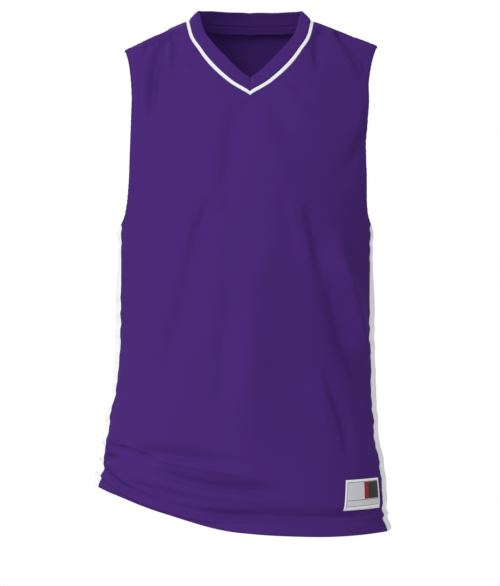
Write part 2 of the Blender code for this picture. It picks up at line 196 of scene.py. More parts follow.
# %% Start a finish
def new_finish(name, **constants):
    """A material with its shader's constant values set, the shader, and a Wire to build on."""
    material = bpy.data.materials.new(name)
    material.use_nodes = True
    shader = material.node_tree.nodes["Principled BSDF"]
    for socket, value in constants.items():
        shader.inputs[socket.replace("_", " ")].default_value = value
    return material, shader, Wire(material.node_tree)


def knit_place(start):
    """The place on the cloth's own map, in metres, and its two parts: across and up."""
    place = start.node("ShaderNodeUVMap", {"uv_map": "knit"})
    across = place.node("ShaderNodeSeparateXYZ", values={0: place})
    return place, across, across.other(1)


print("a finish starts with a Principled BSDF and the map called knit")

# %% [markdown]
# ## The knit
# Sports jerseys are a fine, smooth polyester knit: rows of tiny interlocked loops, quite matt. A grid that
# looks woven would be wrong. Each wale, which is a column of loops, is drawn as a rounded ridge crossed by
# V-shaped loops, at the real pitch of less than a millimetre. The cloth's own map gives places in metres, so
# the loops have the same size on every piece. Slow cloudy changes keep large areas from looking printed.

# %% Knitted finishes
WALE = 0.00085  # metres from one column of loops to the next
COURSE = 0.00070  # metres from one row of loops to the next
LOOP_SLANT = 0.55  # courses that a loop climbs from the middle of its wale to its sides
LOOP_SHARE = 0.45  # of a ridge's height that its loops give
LOOP_DEPTH = 0.00009  # metres
LOOP_SHADE_SHARE = 0.55  # of the change of colour that follows the loops, as painted shade in the gaps between them, where the clouds give the rest as random tone
CLOUD_SCALE = 9.0
GAP_ROUGHNESS = 0.12  # added between the loops
RELIEF = 0.6


def knit(name, lit, shaded, roughness):
    """A fine knit: lit is the loops' colour and shaded the painted shade in the gaps between them; slow
    clouds also mix the two as random tone.
    """
    material, shader, start = new_finish(name, Specular_IOR_Level=0.03)
    place, across, up = knit_place(start)
    edge = abs((across / WALE).fraction() - 0.5) * 2
    yarn = (up / COURSE - edge * LOOP_SLANT).wave()
    height = (1 - edge**3) * (yarn * LOOP_SHARE + (1 - LOOP_SHARE))
    cloud_values = {"Vector": place, "Scale": CLOUD_SCALE, "Detail": 3.0}
    cloud = place.node("ShaderNodeTexNoise", {"noise_dimensions": "2D"}, cloud_values)
    # colour: the loops' height paints shade into the gaps between loops, and the clouds add random tone
    loop_shade_and_cloud = height * LOOP_SHADE_SHARE + cloud * (1 - LOOP_SHADE_SHARE)
    loop_shade_and_cloud.mix(loop_shade_and_cloud, shaded, lit).feeds(shader, "Base Color")
    (roughness + (1 - height) * GAP_ROUGHNESS).feeds(shader, "Roughness")
    height.raises(shader, RELIEF, LOOP_DEPTH)
    return material


purple_knit = knit("purple_knit", (0.0735, 0.0246, 0.198, 1), (0.0593, 0.0189, 0.160, 1), 0.78)
white_knit = knit("white_knit", (0.95, 0.95, 0.96, 1), (0.89, 0.89, 0.905, 1), 0.70)
print("loops of", WALE * 1000, "by", COURSE * 1000, "mm")

# %% [markdown]
# ## The hollow form
# The jersey's form is a stack of level sections below the underarm. Above it, the sections close over the
# shoulders. Four numbers and a squareness say what each section is, and they are the packed model's own
# numbers, so the finer cloth lies where the plain solids lie. All tables are in millimetres and degrees.

# %% Sizes of the form
MM = 0.001
UNDERARM = -295.0  # its height, where the neck points are at 0
UNDERARM_DIP = 9.0  # sag of an insert's top edge
STRIP_HALF = 44.0  # half of an insert's depth from front to back
LENGTH = 438.0  # from the hem to the underarm at the longest side
NECK_HALF = 93.0  # from the middle to a neck point
NECK_RISE = 22.0  # of the shoulder line, carried on to the middle of the neck
NECK_SET_BACK = 22.0  # of the same line there
SHOULDER_BOW = 1.05  # the power by which the shoulder line drops
SEAM_GAP = 0.3
FRONT, BACK = -1, 1
FACE_NAME = {FRONT: "front", BACK: "back"}
ROUND_TRUNK = 2.2  # squareness of the sections: 2 is an ellipse
ROUND_YOKE = {FRONT: 1.7, BACK: 2.0}  # and of the curve up to the shoulder line
NECK_POINT = 5  # the neck's station at a shoulder
NAPE = 9  # and at the middle of the back
Tip = namedtuple("Tip", "out drop")
TIP = {-1: Tip(181, 41), 1: Tip(184, 35)}  # the shoulder line's ends
TIP_REACH = 0.3  # the power by which an armhole's edge goes out to its shoulder's own tip
print("the hem lies", LENGTH, "mm below the underarm")


# %% Tables of the form
def table(columns, *rows):
    """A table with named columns, made from its rows."""
    row_type = namedtuple("Row", columns)
    return [row_type(*row) for row in rows]


SECTIONS = table(
    "height centre half_width front back",
    (-760, -11, 208, 144, 118),
    (-660, -12, 208, 143, 117),
    (-600, -13, 200, 141, 113),
    (-540, -10, 191, 140, 110),
    (-480, -8, 186, 140, 108),
    (-400, -7, 185, 140, 110),
    (-295, -6, 185, 141, 118),
    (-200, -3, 189, 141, 120),
    (-100, 0, 199, 141, 120),
    (10, 0, 212, 141, 120),
)
HEM = table(
    "turn height",
    (-180, -719), (-130, -690), (-90, -667), (-60, -675), (-30, -698), (0, -724), (25, -731), (60, -732),
    (90, -733), (140, -731), (180, -719),
)
ARMHOLE = table(
    "rise front back",
    (0.00, 178, 176),
    (0.04, 173.5, 174.5),
    (0.10, 170.5, 173),
    (0.20, 168.5, 172),
    (0.40, 168, 171.5),
    (0.60, 168, 172),
    (0.75, 168.5, 173),
    (0.86, 171.5, 175),
    (0.94, 176, 178),
    (1.00, 182, 182),
)
NECK = table(
    "station out over top_in top_back top_up",
    (0, 0, 38.4, 0, 16, 26.5),
    (1, 29.6, 42.8, 15.6, 10.7, 17.8),
    (2, 56, 49.6, 18.9, 6, 17.1),
    (3, 74, 57.8, 19.3, 10, 13.6),
    (4, 88, 68.8, 20.5, 10.5, 11),
    (5, 93, 90.0, 18, 4, 18),
    (6, 86, 100.8, 13.5, -4, 22),
    (7, 68, 107.0, 9.5, -8, 24),
    (8, 38, 112.0, 5, -11, 25),
    (9, 0, 114.1, 0, -12, 25.5),
)
print(len(SECTIONS), "sections,", len(HEM), "hem heights,", len(NECK), "neck stations")

# %% [markdown]
# ## From tables to places
# A table is read as a smooth curve through its rows, so few rows give a smooth form. The trunk is found from
# a turn round the body and a height. The yoke, which is the part above the underarm, is found from a
# distance to the side and a climb from the underarm, at 0, to the shoulder line, at 90 degrees.


# %% Read the tables
def ease(t):
    """A smooth rise from 0 to 1."""
    return 3 * t**2 - 2 * t**3


def curve_through(keys, values, at):
    """A smooth curve through values at rising keys."""
    slopes = np.gradient(values, keys)
    at = np.clip(np.asarray(at, float), keys[0], keys[-1])
    i = np.clip(np.searchsorted(keys, at, side="right") - 1, 0, len(keys) - 2)
    step = keys[i + 1] - keys[i]
    t = (at - keys[i]) / step
    low = (1 - ease(t)) * values[i] + (t**3 - 2 * t**2 + t) * step * slopes[i]
    high = ease(t) * values[i + 1] + (t**3 - t**2) * step * slopes[i + 1]
    return low + high


def read(rows, column, at):
    """A column of a table, read smoothly at any value of the table's first column."""
    keys = np.array([row[0] for row in rows], float)
    values = np.array([getattr(row, column) for row in rows], float)
    return curve_through(keys, values, at)


def tip(x, column):
    """How far out the shoulder line ends, or how low, on the side of x."""
    return np.where(np.asarray(x) < 0, getattr(TIP[-1], column), getattr(TIP[1], column))


def out_share(x, height):
    """How far out x is in the section at a height, from -1 to 1."""
    return (x - read(SECTIONS, "centre", height)) / read(SECTIONS, "half_width", height)


print("half width at the underarm", read(SECTIONS, "half_width", UNDERARM), "mm")


# %% Find places on the form
def ridge(x):
    """Set-back and height of the shoulder line above x, carried on over the neck."""
    inner = np.minimum(np.abs(x), NECK_HALF) / NECK_HALF
    outer_width = tip(x, "out") - NECK_HALF
    outer = np.maximum(np.abs(x) - NECK_HALF, 0) / outer_width
    back = NECK_SET_BACK * (1 - inner**2) ** 2
    slope = tip(x, "drop") / outer_width * NECK_HALF
    height = NECK_RISE * (1 - ease(inner)) + slope * (inner**2 - inner**3)
    return back, height - tip(x, "drop") * outer**SHOULDER_BOW


def trunk_point(turn, height):
    """The form below the underarm, at a turn in degrees from the centre front."""
    turn = np.radians(turn)
    power = 2 / ROUND_TRUNK
    across = np.abs(np.sin(turn)) ** power * np.sign(turn)
    along = np.abs(np.cos(turn)) ** power
    depth = np.where(np.cos(turn) > 0, -read(SECTIONS, "front", height), read(SECTIONS, "back", height))
    x = read(SECTIONS, "centre", height) + read(SECTIONS, "half_width", height) * across
    return np.stack([x, depth * along, height], -1)


def yoke_point(face, x, climb):
    """The form above the underarm."""
    power = 2 / ROUND_YOKE[face]
    rise = np.sin(np.radians(climb)) ** power
    reach = np.cos(np.radians(climb)) ** power
    back, top = ridge(x)
    height = UNDERARM + (top - UNDERARM) * rise
    out = np.clip(np.abs(out_share(x, height)), 0, 1)
    bulge = (1 - out**ROUND_TRUNK) ** (1 / ROUND_TRUNK)
    y = back * (1 - reach) + face * read(SECTIONS, FACE_NAME[face], height) * bulge * reach
    return np.stack([x, y, height], -1)


print("shoulder line at the middle and at a neck point:", ridge(np.array([0.0, NECK_HALF]))[1], "mm")


# %% Find turns and directions
def seam_turn(face, height, half_strip):
    """The turn of the seam beside an insert, counted from the centre of that face."""
    share = half_strip / read(SECTIONS, FACE_NAME[face], height)
    return np.degrees(np.arccos(share ** (ROUND_TRUNK / 2)))


def all_round(face, turn):
    """A turn from the centre of a face, as a turn from the centre front."""
    return turn if face == FRONT else np.where(turn < 0, -180 - turn, 180 - turn)


def turn_of(face, points):
    """The turn of points on a panel."""
    out = out_share(points[..., 0], points[..., 2])
    turn = np.degrees(np.arcsin(np.clip(np.abs(out), 0, 1) ** (ROUND_TRUNK / 2))) * np.sign(out)
    return all_round(face, turn)


def outward(points, turn):
    """Unit normals of the form, and how far the place still is from the shoulder line."""
    height = points[..., 2]
    in_front = np.abs(turn) < 90
    depth = np.where(in_front, read(SECTIONS, "front", height), read(SECTIONS, "back", height))
    power = 2 - 2 / ROUND_TRUNK
    across = np.sin(np.radians(turn))
    along = np.cos(np.radians(turn))
    nx = np.sign(across) * np.abs(across) ** power / read(SECTIONS, "half_width", height)
    ny = np.where(in_front, FRONT, BACK) * np.abs(along) ** power / depth
    length = np.hypot(nx, ny)
    back, top = ridge(points[..., 0])
    rise = np.clip((height - UNDERARM) / (top - UNDERARM), 0, 1)
    curve = np.where(in_front, ROUND_YOKE[FRONT], ROUND_YOKE[BACK])
    reach = (1 - rise**curve) ** (1 / curve)
    level = reach ** (curve - 1) / depth
    steep = rise ** (curve - 1) / (top - UNDERARM)
    tilt = np.arctan2(steep, level)
    return np.stack([nx / length * np.cos(tilt), ny / length * np.cos(tilt), np.sin(tilt)], -1), reach


front_level = outward(np.array([[0.0, 0.0, UNDERARM]]), np.array([0.0]))[0][0]
print("at the underarm's height the centre front faces", [round(float(v), 3) for v in front_level])

# %% [markdown]
# ## Creases
# Cloth that hangs from two shoulders and is pushed up at one hip pulls into long soft troughs and ridges,
# each with its own length, depth and spacing. A simulation would give creases, but not these creases, so
# each has its own row: a path over the cloth, a width on each side of it, and a rise, which is negative
# for a trough. A narrow side gives a sharp flank and a wide side a soft one. Paths are given as millimetres
# round the body from the centre front, and a height. The front's creases were sketched by hand, and then a
# least-squares fit in a separate program changed their points, widths and rises, and some were changed by
# hand again. The creases of the sides and the back are given one by one, without a fit.

# %% The crease table
GIRTH_RADIUS = 165.0  # of the round body on which the paths are laid out
SHOULDER_FADE = 0.06  # reach at which creases begin to fade towards the shoulder line

# left and right are the widths beside a path that runs down, seen from outside. On one that runs towards
# greater places round the body they are its lower and its upper width. grow and fade are the shares of the
# path over which the crease comes and goes.
CREASES = table(
    "path left right rise grow fade",
    # wearer's right shoulder and chest
    ([(-89, -17), (-101, -26), (-111, -49), (-119, -72), (-125, -103), (-126, -128), (-125, -156),
      (-120, -192)], 8, 10.5, -10, 0.01, 0.5),
    ([(-85, -15), (-85, -30), (-86, -50), (-87, -69), (-86, -94), (-83, -127)], 4.5, 9, -6.8, 0.03, 0.8),
    ([(-113, -26), (-130, -41), (-137, -65)], 4.5, 5, -4.2, 0.08, 0.5),
    ([(-83, -54), (-68, -67), (-51, -76)], 4.5, 6, -2.8, 0.25, 0.4),
    ([(-136, -59), (-139, -96), (-144, -137), (-143, -177)], 7, 8, 2.2, 0.3, 0.4),
    ([(-133, -35), (-112, -25), (-90, -17)], 7, 3, -2.8, 0.1, 0.1),
    # wearer's left shoulder and chest
    ([(43, -86), (54, -108), (77, -120)], 9, 9, -2.5, 0.4, 0.5),
    ([(57, -122), (84, -143), (118, -156)], 7, 12, -3.2, 0.4, 0.3),
    ([(178, -107), (165, -160), (138, -206), (99, -237)], 9, 22, -4.2, 0.3, 0.5),
    ([(177, -204), (175, -239), (131, -254)], 13, 26, 1.2, 0.3, 0.5),
    ([(97, -15), (112, -26), (128, -45), (146, -60), (154, -81)], 4, 10, -9, 0.03, 0.4),
    ([(86, -13), (99, -37), (114, -57), (129, -75), (145, -92)], 17, 4.5, 7, 0.1, 0.5),
    ([(154, -84), (154, -119), (163, -151), (172, -186)], 27, 12, 6.5, 0.4, 0.35),
    ([(82, -11), (74, -28), (73, -47), (75, -70), (79, -89)], 6, 9, -4.8, 0.06, 0.5),
    # below the V
    ([(-28, -256), (-19, -273), (-33, -288)], 6, 10, -1.8, 0.3, 0.5),
    ([(-23, -255), (-26, -272), (-26, -292)], 4, 4, 0.4, 0.4, 0.4),
    ([(-3, -121), (-10, -140), (-15, -164), (-18, -192), (-20, -221), (-22, -244), (-25, -263),
      (-28, -288), (-33, -314)], 11, 15, -5, 0.15, 0.5),
    ([(-1, -122), (-4, -138), (-7, -160)], 4, 5, -1.2, 0.1, 0.6),
    ([(4, -121), (12, -145), (21, -174), (31, -206), (43, -239), (50, -271)], 20, 13, 5, 0.15, 0.6),
    # from the chest to the wearer's right side
    ([(-40, -254), (-48, -285), (-61, -321), (-71, -357)], 6.5, 7.5, -3.8, 0.3, 0.6),
    ([(-34, -260), (-40, -305), (-62, -354), (-80, -428), (-111, -510),
      (-182, -545)], 13.5, 26, -6.1, 0.3, 0.4),
    ([(-19, -265), (-26, -317), (-28, -377), (-41, -443)], 26, 14, 4.3, 0.3, 0.5),
    ([(-16, -375), (-15, -427), (-22, -475), (-29, -540)], 12, 26, -5.5, 0.3, 0.5),
    ([(-21, -444), (-17, -514), (-46, -578)], 12, 26, -4, 0.4, 0.5),
    # down the middle
    ([(12, -335), (7, -444), (3, -541), (10, -645)], 14, 22, 6.2, 0.35, 0.45),
    ([(44, -274), (4, -402), (4, -501), (46, -623)], 26, 23.5, 7.5, 0.3, 0.4),
    ([(44, -261), (55, -331), (71, -429), (60, -514)], 15, 10, -1.3, 0.3, 0.5),
    # from the chest to the wearer's left side, the longest pair
    ([(32, -253), (44, -283), (52, -324), (63, -369)], 7.5, 8, -1.6, 0.3, 0.5),
    ([(67, -263), (80, -300), (89, -351), (112, -400)], 8, 10, -4.8, 0.3, 0.5),
    ([(108, -435), (133, -479), (174, -505), (192, -555)], 9, 12, -2.2, 0.3, 0.4),
    ([(78, -253), (88, -306), (108, -366), (127, -428), (162, -503),
      (191, -595)], 19, 16, -11.2, 0.3, 0.35),
    ([(101, -254), (85, -335), (155, -397), (183, -475), (233, -521)], 22.5, 19.5, 9.4, 0.25, 0.4),
    ([(96, -495), (109, -529), (121, -560), (130, -586), (134, -614),
      (137, -636)], 7, 12, -5.5, 0.3, 0.4),
    ([(63, -513), (97, -548), (100, -601)], 11, 26, 4.6, 0.4, 0.5),
    ([(116, -291), (124, -333), (136, -389), (152, -431), (169, -473),
      (196, -510)], 26, 15, 12.5, 0.3, 0.3),
    # bunched at the wearer's right hip, running round the side
    ([(-200, -608), (-174, -611), (-148, -613)], 3, 4, -3.2, 0.1, 0.15),
    ([(-148, -614), (-110, -618), (-86, -619), (-66, -621), (-41, -624), (-19, -627), (-1, -633),
      (21, -640)], 8, 10.5, -6.2, 0.15, 0.55),
    ([(-109, -625), (-84, -627), (-64, -630), (-40, -634), (-19, -639), (-1, -644), (21, -651),
      (60, -658)], 6, 6, 3.6, 0.25, 0.4),
    ([(-167, -610), (-144, -613), (-130, -616), (-109, -624), (-85, -631), (-64, -636), (-40, -639),
      (-17, -645)], 4.5, 2.5, -3.2, 0.06, 0.6),
    ([(-130, -613), (-123, -615), (-115, -618)], 3, 3, 1.8, 0.4, 0.4),
    ([(-132, -626), (-106, -636), (-85, -645), (-65, -653), (-41, -660), (-20, -664), (-1, -666),
      (19, -668), (43, -673), (91, -682)], 7, 10, -7.5, 0.3, 0.35),
    ([(-104, -646), (-83, -653), (-64, -661), (-40, -668), (-14, -674), (16, -680),
      (60, -685)], 6, 7, 3.4, 0.3, 0.4),
    ([(-208, -636), (-195, -644), (-183, -650), (-165, -657), (-151, -663), (-139, -667), (-123, -671),
      (-103, -677), (-81, -681)], 4, 2.5, -2.6, 0.1, 0.3),
    ([(-204, -626), (-179, -626), (-158, -626)], 6, 5, -4.6, 0.05, 0.5),
    ([(-202, -635), (-163, -637)], 6, 5, 2.6, 0.2, 0.5),
    ([(-144, -655), (-126, -662), (-103, -667), (-83, -671), (-65, -676), (-41, -682), (-18, -686),
      (0, -687)], 5, 5.5, -3.6, 0.2, 0.5),
    ([(-139, -667), (-103, -672), (-82, -677)], 4.5, 4.5, 2.6, 0.4, 0.3),
    # above the bottom hem
    ([(-102, -682), (-82, -688), (-64, -693), (-41, -698), (-20, -702), (-1, -704), (16, -705),
      (49, -708), (86, -709), (123, -709), (177, -708)], 6, 8.5, -7.5, 0.5, 0.08),
    ([(-172, -669), (-131, -677), (-101, -685), (-81, -691), (-63, -697), (-41, -702),
      (-18, -706)], 3, 5, 2.4, 0.2, 0.4),
    # round the hip
    ([(-350, -590), (-300, -602), (-262, -613), (-232, -614), (-200, -611)], 5, 5, -4.5, 0.3, 0.3),
    ([(-340, -612), (-295, -622), (-262, -628), (-225, -628), (-190, -622)], 6, 6, 4.0, 0.3, 0.4),
    ([(-345, -630), (-300, -636), (-262, -638), (-230, -639), (-200, -645)], 5, 5, -4.5, 0.3, 0.3),
    ([(-330, -655), (-290, -654), (-255, -652), (-215, -655)], 7, 6, 2.5, 0.3, 0.4),
    ([(-290, -560), (-225, -566), (-160, -580)], 12, 13, 3.4, 0.4, 0.5),
    # sides
    ([(262, -340), (273, -470), (251, -600)], 12, 14, 4.0, 0.3, 0.4),
    ([(238, -380), (246, -500), (232, -610)], 10, 12, -3.0, 0.3, 0.4),
    ([(-262, -330), (-276, -440), (-256, -540)], 12, 14, 4.0, 0.3, 0.5),
    ([(-238, -350), (-250, -470), (-238, -580)], 10, 11, -3.0, 0.3, 0.4),
    # back: gathered below the shoulder seams
    ([(396, -22), (398, -60), (390, -120), (392, -180)], 8, 11, -6.5, 0.08, 0.6),
    ([(420, -18), (424, -50), (430, -96)], 5, 9, -4.0, 0.06, 0.7),
    ([(372, -40), (366, -90), (368, -150)], 9, 10, 3.2, 0.2, 0.5),
    ([(-388, -30), (-392, -80), (-384, -150), (-388, -210)], 10, 8, -6.5, 0.08, 0.6),
    ([(-414, -20), (-420, -56), (-434, -90)], 8, 5, -4.0, 0.06, 0.7),
    ([(-366, -50), (-362, -110), (-366, -170)], 10, 9, 3.2, 0.2, 0.5),
    # back: from the shoulder blades down, and drawn to the lifted hip
    ([(404, -150), (388, -230), (384, -310), (402, -430)], 13, 18, -5.5, 0.3, 0.5),
    ([(-400, -160), (-388, -230), (-386, -300), (-408, -410)], 18, 13, -5.0, 0.3, 0.5),
    ([(456, -290), (452, -400), (438, -510), (402, -650)], 12, 22, -9.0, 0.25, 0.45),
    ([(476, -330), (474, -440), (462, -560), (440, -650)], 18, 14, 5.5, 0.3, 0.4),
    ([(-462, -300), (-448, -400), (-420, -480), (-318, -575)], 20, 11, -9.0, 0.25, 0.45),
    ([(-436, -290), (-420, -370), (-386, -450), (-312, -530)], 13, 17, 5.5, 0.3, 0.4),
    ([(508, -330), (503, -480), (488, -684)], 20, 15, 6.5, 0.3, 0.4),
    ([(-508, -360), (-500, -470), (-470, -570), (-420, -640)], 14, 22, -7.0, 0.3, 0.4),
    ([(-426, -420), (-440, -540), (-474, -690)], 16, 20, 5.0, 0.4, 0.5),
    ([(364, -380), (344, -500), (332, -650)], 12, 18, -6.0, 0.3, 0.4),
    # back: bunched above the hip and along the hem
    ([(-300, -606), (-352, -618), (-404, -634), (-470, -662)], 7, 11, -6.5, 0.2, 0.5),
    ([(-310, -622), (-360, -634), (-420, -652)], 6, 6, 3.0, 0.3, 0.4),
    ([(-318, -648), (-372, -656), (-430, -674), (-476, -694)], 6, 9, -5.5, 0.25, 0.4),
    ([(300, -697), (370, -694), (450, -690), (510, -686)], 6, 8, -4.5, 0.25, 0.3),
)
print(len(CREASES), "creases")

# %% Read the creases
CREASE_SAMPLES = 26
CREASE_REACH = 3.2  # widths away from its path at which a crease is flat


def crease_path(crease):
    """Points along a crease, and how strongly it shows at each."""
    path = np.array(crease.path, float)
    t = np.linspace(0, 1, CREASE_SAMPLES)
    keys = np.linspace(0, 1, len(path))
    points = np.stack([curve_through(keys, path[:, 0], t), curve_through(keys, path[:, 1], t)], -1)
    return points, ease(np.clip(t / crease.grow, 0, 1)) * ease(np.clip((1 - t) / crease.fade, 0, 1))


def crease_rise(turn, height):
    """How far the creases push the cloth out of the form."""
    around = np.radians(turn) * GIRTH_RADIUS
    girth = 2 * np.pi * GIRTH_RADIUS
    total = np.zeros(np.shape(height))
    for crease in CREASES:
        path, strength = crease_path(crease)
        centre = path[:, 0].mean()
        place = np.stack([around + girth * np.round((centre - around) / girth), height], -1)
        margin = CREASE_REACH * max(crease.left, crease.right)
        inside = ((place > path.min(0) - margin) & (place < path.max(0) + margin)).all(-1)
        start, step = path[:-1], np.diff(path, axis=0)
        from_start = place[inside][:, None, :] - start
        t = np.clip((from_start * step).sum(-1) / (step**2).sum(-1), 0, 1)
        off = place[inside][:, None, :] - (start + t[..., None] * step)
        away = np.hypot(off[..., 0], off[..., 1])
        side = step[:, 0] * off[..., 1] - step[:, 1] * off[..., 0]
        level = strength[:-1] + t * np.diff(strength)
        nearest = away.argmin(-1)[:, None]
        away, side, level = (np.take_along_axis(part, nearest, -1)[:, 0] for part in (away, side, level))
        width = np.where(side > 0, crease.right, crease.left)
        total[inside] += crease.rise * level * np.exp(-((away / width) ** 2))
    return total


down_front = crease_rise(np.zeros(5), np.linspace(-700, -100, 5))
print("rises down the centre front", down_front.round(1), "mm")

# %% [markdown]
# ## Small unevenness, hems and seams
# Even a smooth stretch of cloth is never quite flat. A few slow waves with fixed lengths give it that. The
# bottom hem is a band of two layers that stands out a little and is pulled in along its stitching. Where the
# cloth is bunched at the hip, the hem is pushed down from above and its edge turns in. Beside a seam, the
# layers underneath lift the cloth, the stitching draws a groove, and the thread, which is shorter than the
# cloth, gathers it into small ripples.

# %% Waves and bands
WAVES = table(
    "around_length height_length phase rise",
    (130, 900, 0.4, 0.35),
    (85, -620, 2.1, 0.20),
    (48, 410, 4.0, 0.10),
    (31, -230, 1.2, 0.05),
)
Band = namedtuple("Band", "above half_width rise")
HEM_STITCH_ABOVE = 18.5
ARMHOLE_STITCH = 11.0
HEM_BANDS = [Band(33, 5.5, -1.2), Band(22, 4.0, 2.6), Band(HEM_STITCH_ABOVE, 1.5, -0.6), Band(0, 14, 5.8)]
SEAM_BANDS = [Band(0, 1.4, -0.9), Band(4.5, 2.6, 0.45)]
NECK_BANDS = [Band(0, 1.5, -2.0), Band(4.5, 2.6, 0.45)]
ARMHOLE_BANDS = [Band(ARMHOLE_STITCH, 1.5, -0.4), Band(5.5, 4.5, 0.3)]


def unevenness(turn, height):
    """Slow waves over the cloth, joined all round the body."""
    turn = np.radians(turn)
    total = np.zeros(np.shape(height))
    for wave in WAVES:
        count = round(2 * np.pi * GIRTH_RADIUS / wave.around_length)
        total += wave.rise * np.sin(count * turn + 2 * np.pi * height / wave.height_length + wave.phase)
    return total


def banded(away, bands):
    """Bands that stand out or lie in, by the distance from an edge."""
    return sum(band.rise * np.exp(-(((away - band.above) / band.half_width) ** 2)) for band in bands)


print(len(WAVES), "waves,", len(HEM_BANDS), "hem bands")

# %% Puckers beside seams
Gather = namedtuple("Gather", "pitch rise reach")
SIDE_GATHERS = [Gather(31.0, 1.7, 22.0), Gather(12.0, 0.55, 12.0)]
INSERT_GATHERS = [Gather(31.0, 1.7, 70.0), Gather(12.0, 0.55, 12.0)]
ARMHOLE_GATHER = Gather(9.0, 0.35, 14.0)
SHOULDER_GATHER = Gather(8.0, 0.25, 7.0)
HEM_GATHER = Gather(7.0, 0.2, 8.0)
GATHER_FALL = 1.5  # the power by which ripples die away from their seam
SETTLE = ((-620.0, -420.0), (1.0, 0.4))  # side seams ripple most near the hem: heights and shares
SIDE_SHIFT = 11.0

# Along a seam the ripples' pitch wanders and their height swells, so no two are alike.
Sway = namedtuple("Sway", "share length phase")
PITCH_SWAYS = [Sway(0.26, 17.0, 0.0), Sway(0.38, 37.0, 1.0)]
RISE_MEAN = 0.6
RISE_SWAYS = [Sway(0.4, 23.0, 2.0)]


def swayed(along, sways):
    """Slow swings along a seam."""
    return sum(sway.share * np.sin(along / sway.length + sway.phase) for sway in sways)


def pucker(away, along, gather):
    """Ripples gathered by a seam, of uneven length, that die away from it."""
    ripple = np.sin(2 * np.pi * (along / gather.pitch + swayed(along, PITCH_SWAYS)))
    swell = RISE_MEAN + swayed(along, RISE_SWAYS)
    return gather.rise * swell * np.exp(-((away / gather.reach) ** GATHER_FALL)) * ripple


def side_ripples(away, turn, height, gathers):
    """Ripples beside a side seam, not the same on the left and the right."""
    along = height + SIDE_SHIFT * np.sign(turn)
    return np.interp(height, *SETTLE) * sum(pucker(away, along, gather) for gather in gathers)


print("side seams ripple every", [gather.pitch for gather in SIDE_GATHERS], "mm")

# %% The tuck at the hip
TUCK = table(
    "turn share",
    (-180, 0), (-84, 0), (-62, 0.4), (-51, 0.76), (-38, 1.0), (-19, 1.0), (-8, 0.7), (-1, 0.35), (10, 0),
    (180, 0),
)
HEM_DEPTH = 21.0
TUCK_REACH = 95.0
TUCK_DROP = 17.0
EDGE_DROP = 0.12  # of the drop that reaches the hem's edge
TUCK_CURL = 9.0
CURL_FALL = 1.5


def tucked(turn, above):
    """How far the cloth near the hem is pushed down, and its edge drawn in, where it is bunched."""
    share = np.interp(turn, [tuck.turn for tuck in TUCK], [tuck.share for tuck in TUCK])
    down = share * TUCK_DROP * np.interp(above, (0, HEM_DEPTH, TUCK_REACH), (EDGE_DROP, 1, 0))
    inward = share * TUCK_CURL * np.clip(1 - above / HEM_DEPTH, 0, 1) ** CURL_FALL
    return down, inward


print("the cloth is pushed down by up to", TUCK_DROP, "mm")

# %% [markdown]
# ## Fine grids
# Each piece is a grid of points about two and a half millimetres apart, closer near the hem, where the
# creases are narrow. Its columns run from the hem up to the neck or the shoulder, and its rows run across.
# The form is worked out first, without creases, because the distances from the seams are measured on it.

# %% Rows and columns
NECK_COLUMNS = 46
SHOULDER_COLUMNS = 46
NECK_SHARE = 0.52  # of a panel's half, whose columns end at the neck
EDGE_GATHER = 1.2  # the power by which columns draw together at the sides
YOKE_ROWS = 122
ROW_GATHER = 1.1  # the power by which rows draw together at the underarm
ROW_LAG = 70  # divided by the degrees that a column ends short, the power by which its rows lag
MOST_LAG = 3
INSERT_COLUMNS = 36
ZONES = table("above step", (0, 1.5), (45, 2.0), (150, 3.0))


def trunk_rows():
    """Heights above the hem of the rows up to the underarm."""
    ends = [zone.above for zone in ZONES[1:]] + [LENGTH]
    parts = [np.arange(zone.above, end - zone.step / 2, zone.step) for zone, end in zip(ZONES, ends)]
    return np.concatenate(parts + [[LENGTH]])


def shares():
    """Column places across a panel, from -1 to 1."""
    neck = np.linspace(0, NECK_SHARE, NECK_COLUMNS + 1)
    toward_edge = 1 - (1 - np.linspace(0, 1, SHOULDER_COLUMNS + 1)[1:]) ** EDGE_GATHER
    half = np.concatenate([neck, NECK_SHARE + (1 - NECK_SHARE) * toward_edge])
    return np.concatenate([-half[:0:-1], half])


def arc(grid, axis):
    """Distances along a grid's rows (axis 1) or columns (axis 0), from its first point."""
    steps = np.linalg.norm(np.diff(grid, axis=axis), axis=-1)
    start = np.zeros_like(np.take(steps, [0], axis))
    return np.concatenate([start, np.cumsum(steps, axis)], axis)


print(len(trunk_rows()) + YOKE_ROWS, "rows by", len(shares()), "columns on a panel")


# %% Grids of the panels
def trunk_row(face, share, above):
    """Turns and heights of the places across a panel, at a height above the hem."""
    half_strip = STRIP_HALF + SEAM_GAP / 2
    up = above / LENGTH
    turn = share * seam_turn(face, UNDERARM, half_strip)
    for _ in range(2):  # the hem's height depends on the turn, and the seam's turn on the height
        height = read(HEM, "height", all_round(face, turn)) * (1 - up) + UNDERARM * up
        turn = share * seam_turn(face, height, half_strip)
    return turn, height


def panel_tops(face, share):
    """Where each column ends at the top: x, and the climb there."""
    first = 0 if face == FRONT else NAPE
    stations = np.linspace(first, NECK_POINT, NECK_COLUMNS + 1)
    at = np.interp(np.abs(share), np.linspace(0, NECK_SHARE, NECK_COLUMNS + 1), stations)
    neck_x = read(NECK, "out", at) * np.sign(share)
    neck_climb = 90 - np.abs(90 - read(NECK, "over", at))
    along = (np.abs(share) - NECK_SHARE) / (1 - NECK_SHARE)
    shoulder_x = np.sign(share) * (NECK_HALF + (tip(share, "out") - NECK_HALF) * along)
    on_neck = np.abs(share) < NECK_SHARE
    return np.where(on_neck, neck_x, shoulder_x), np.where(on_neck, neck_climb, 90.0)


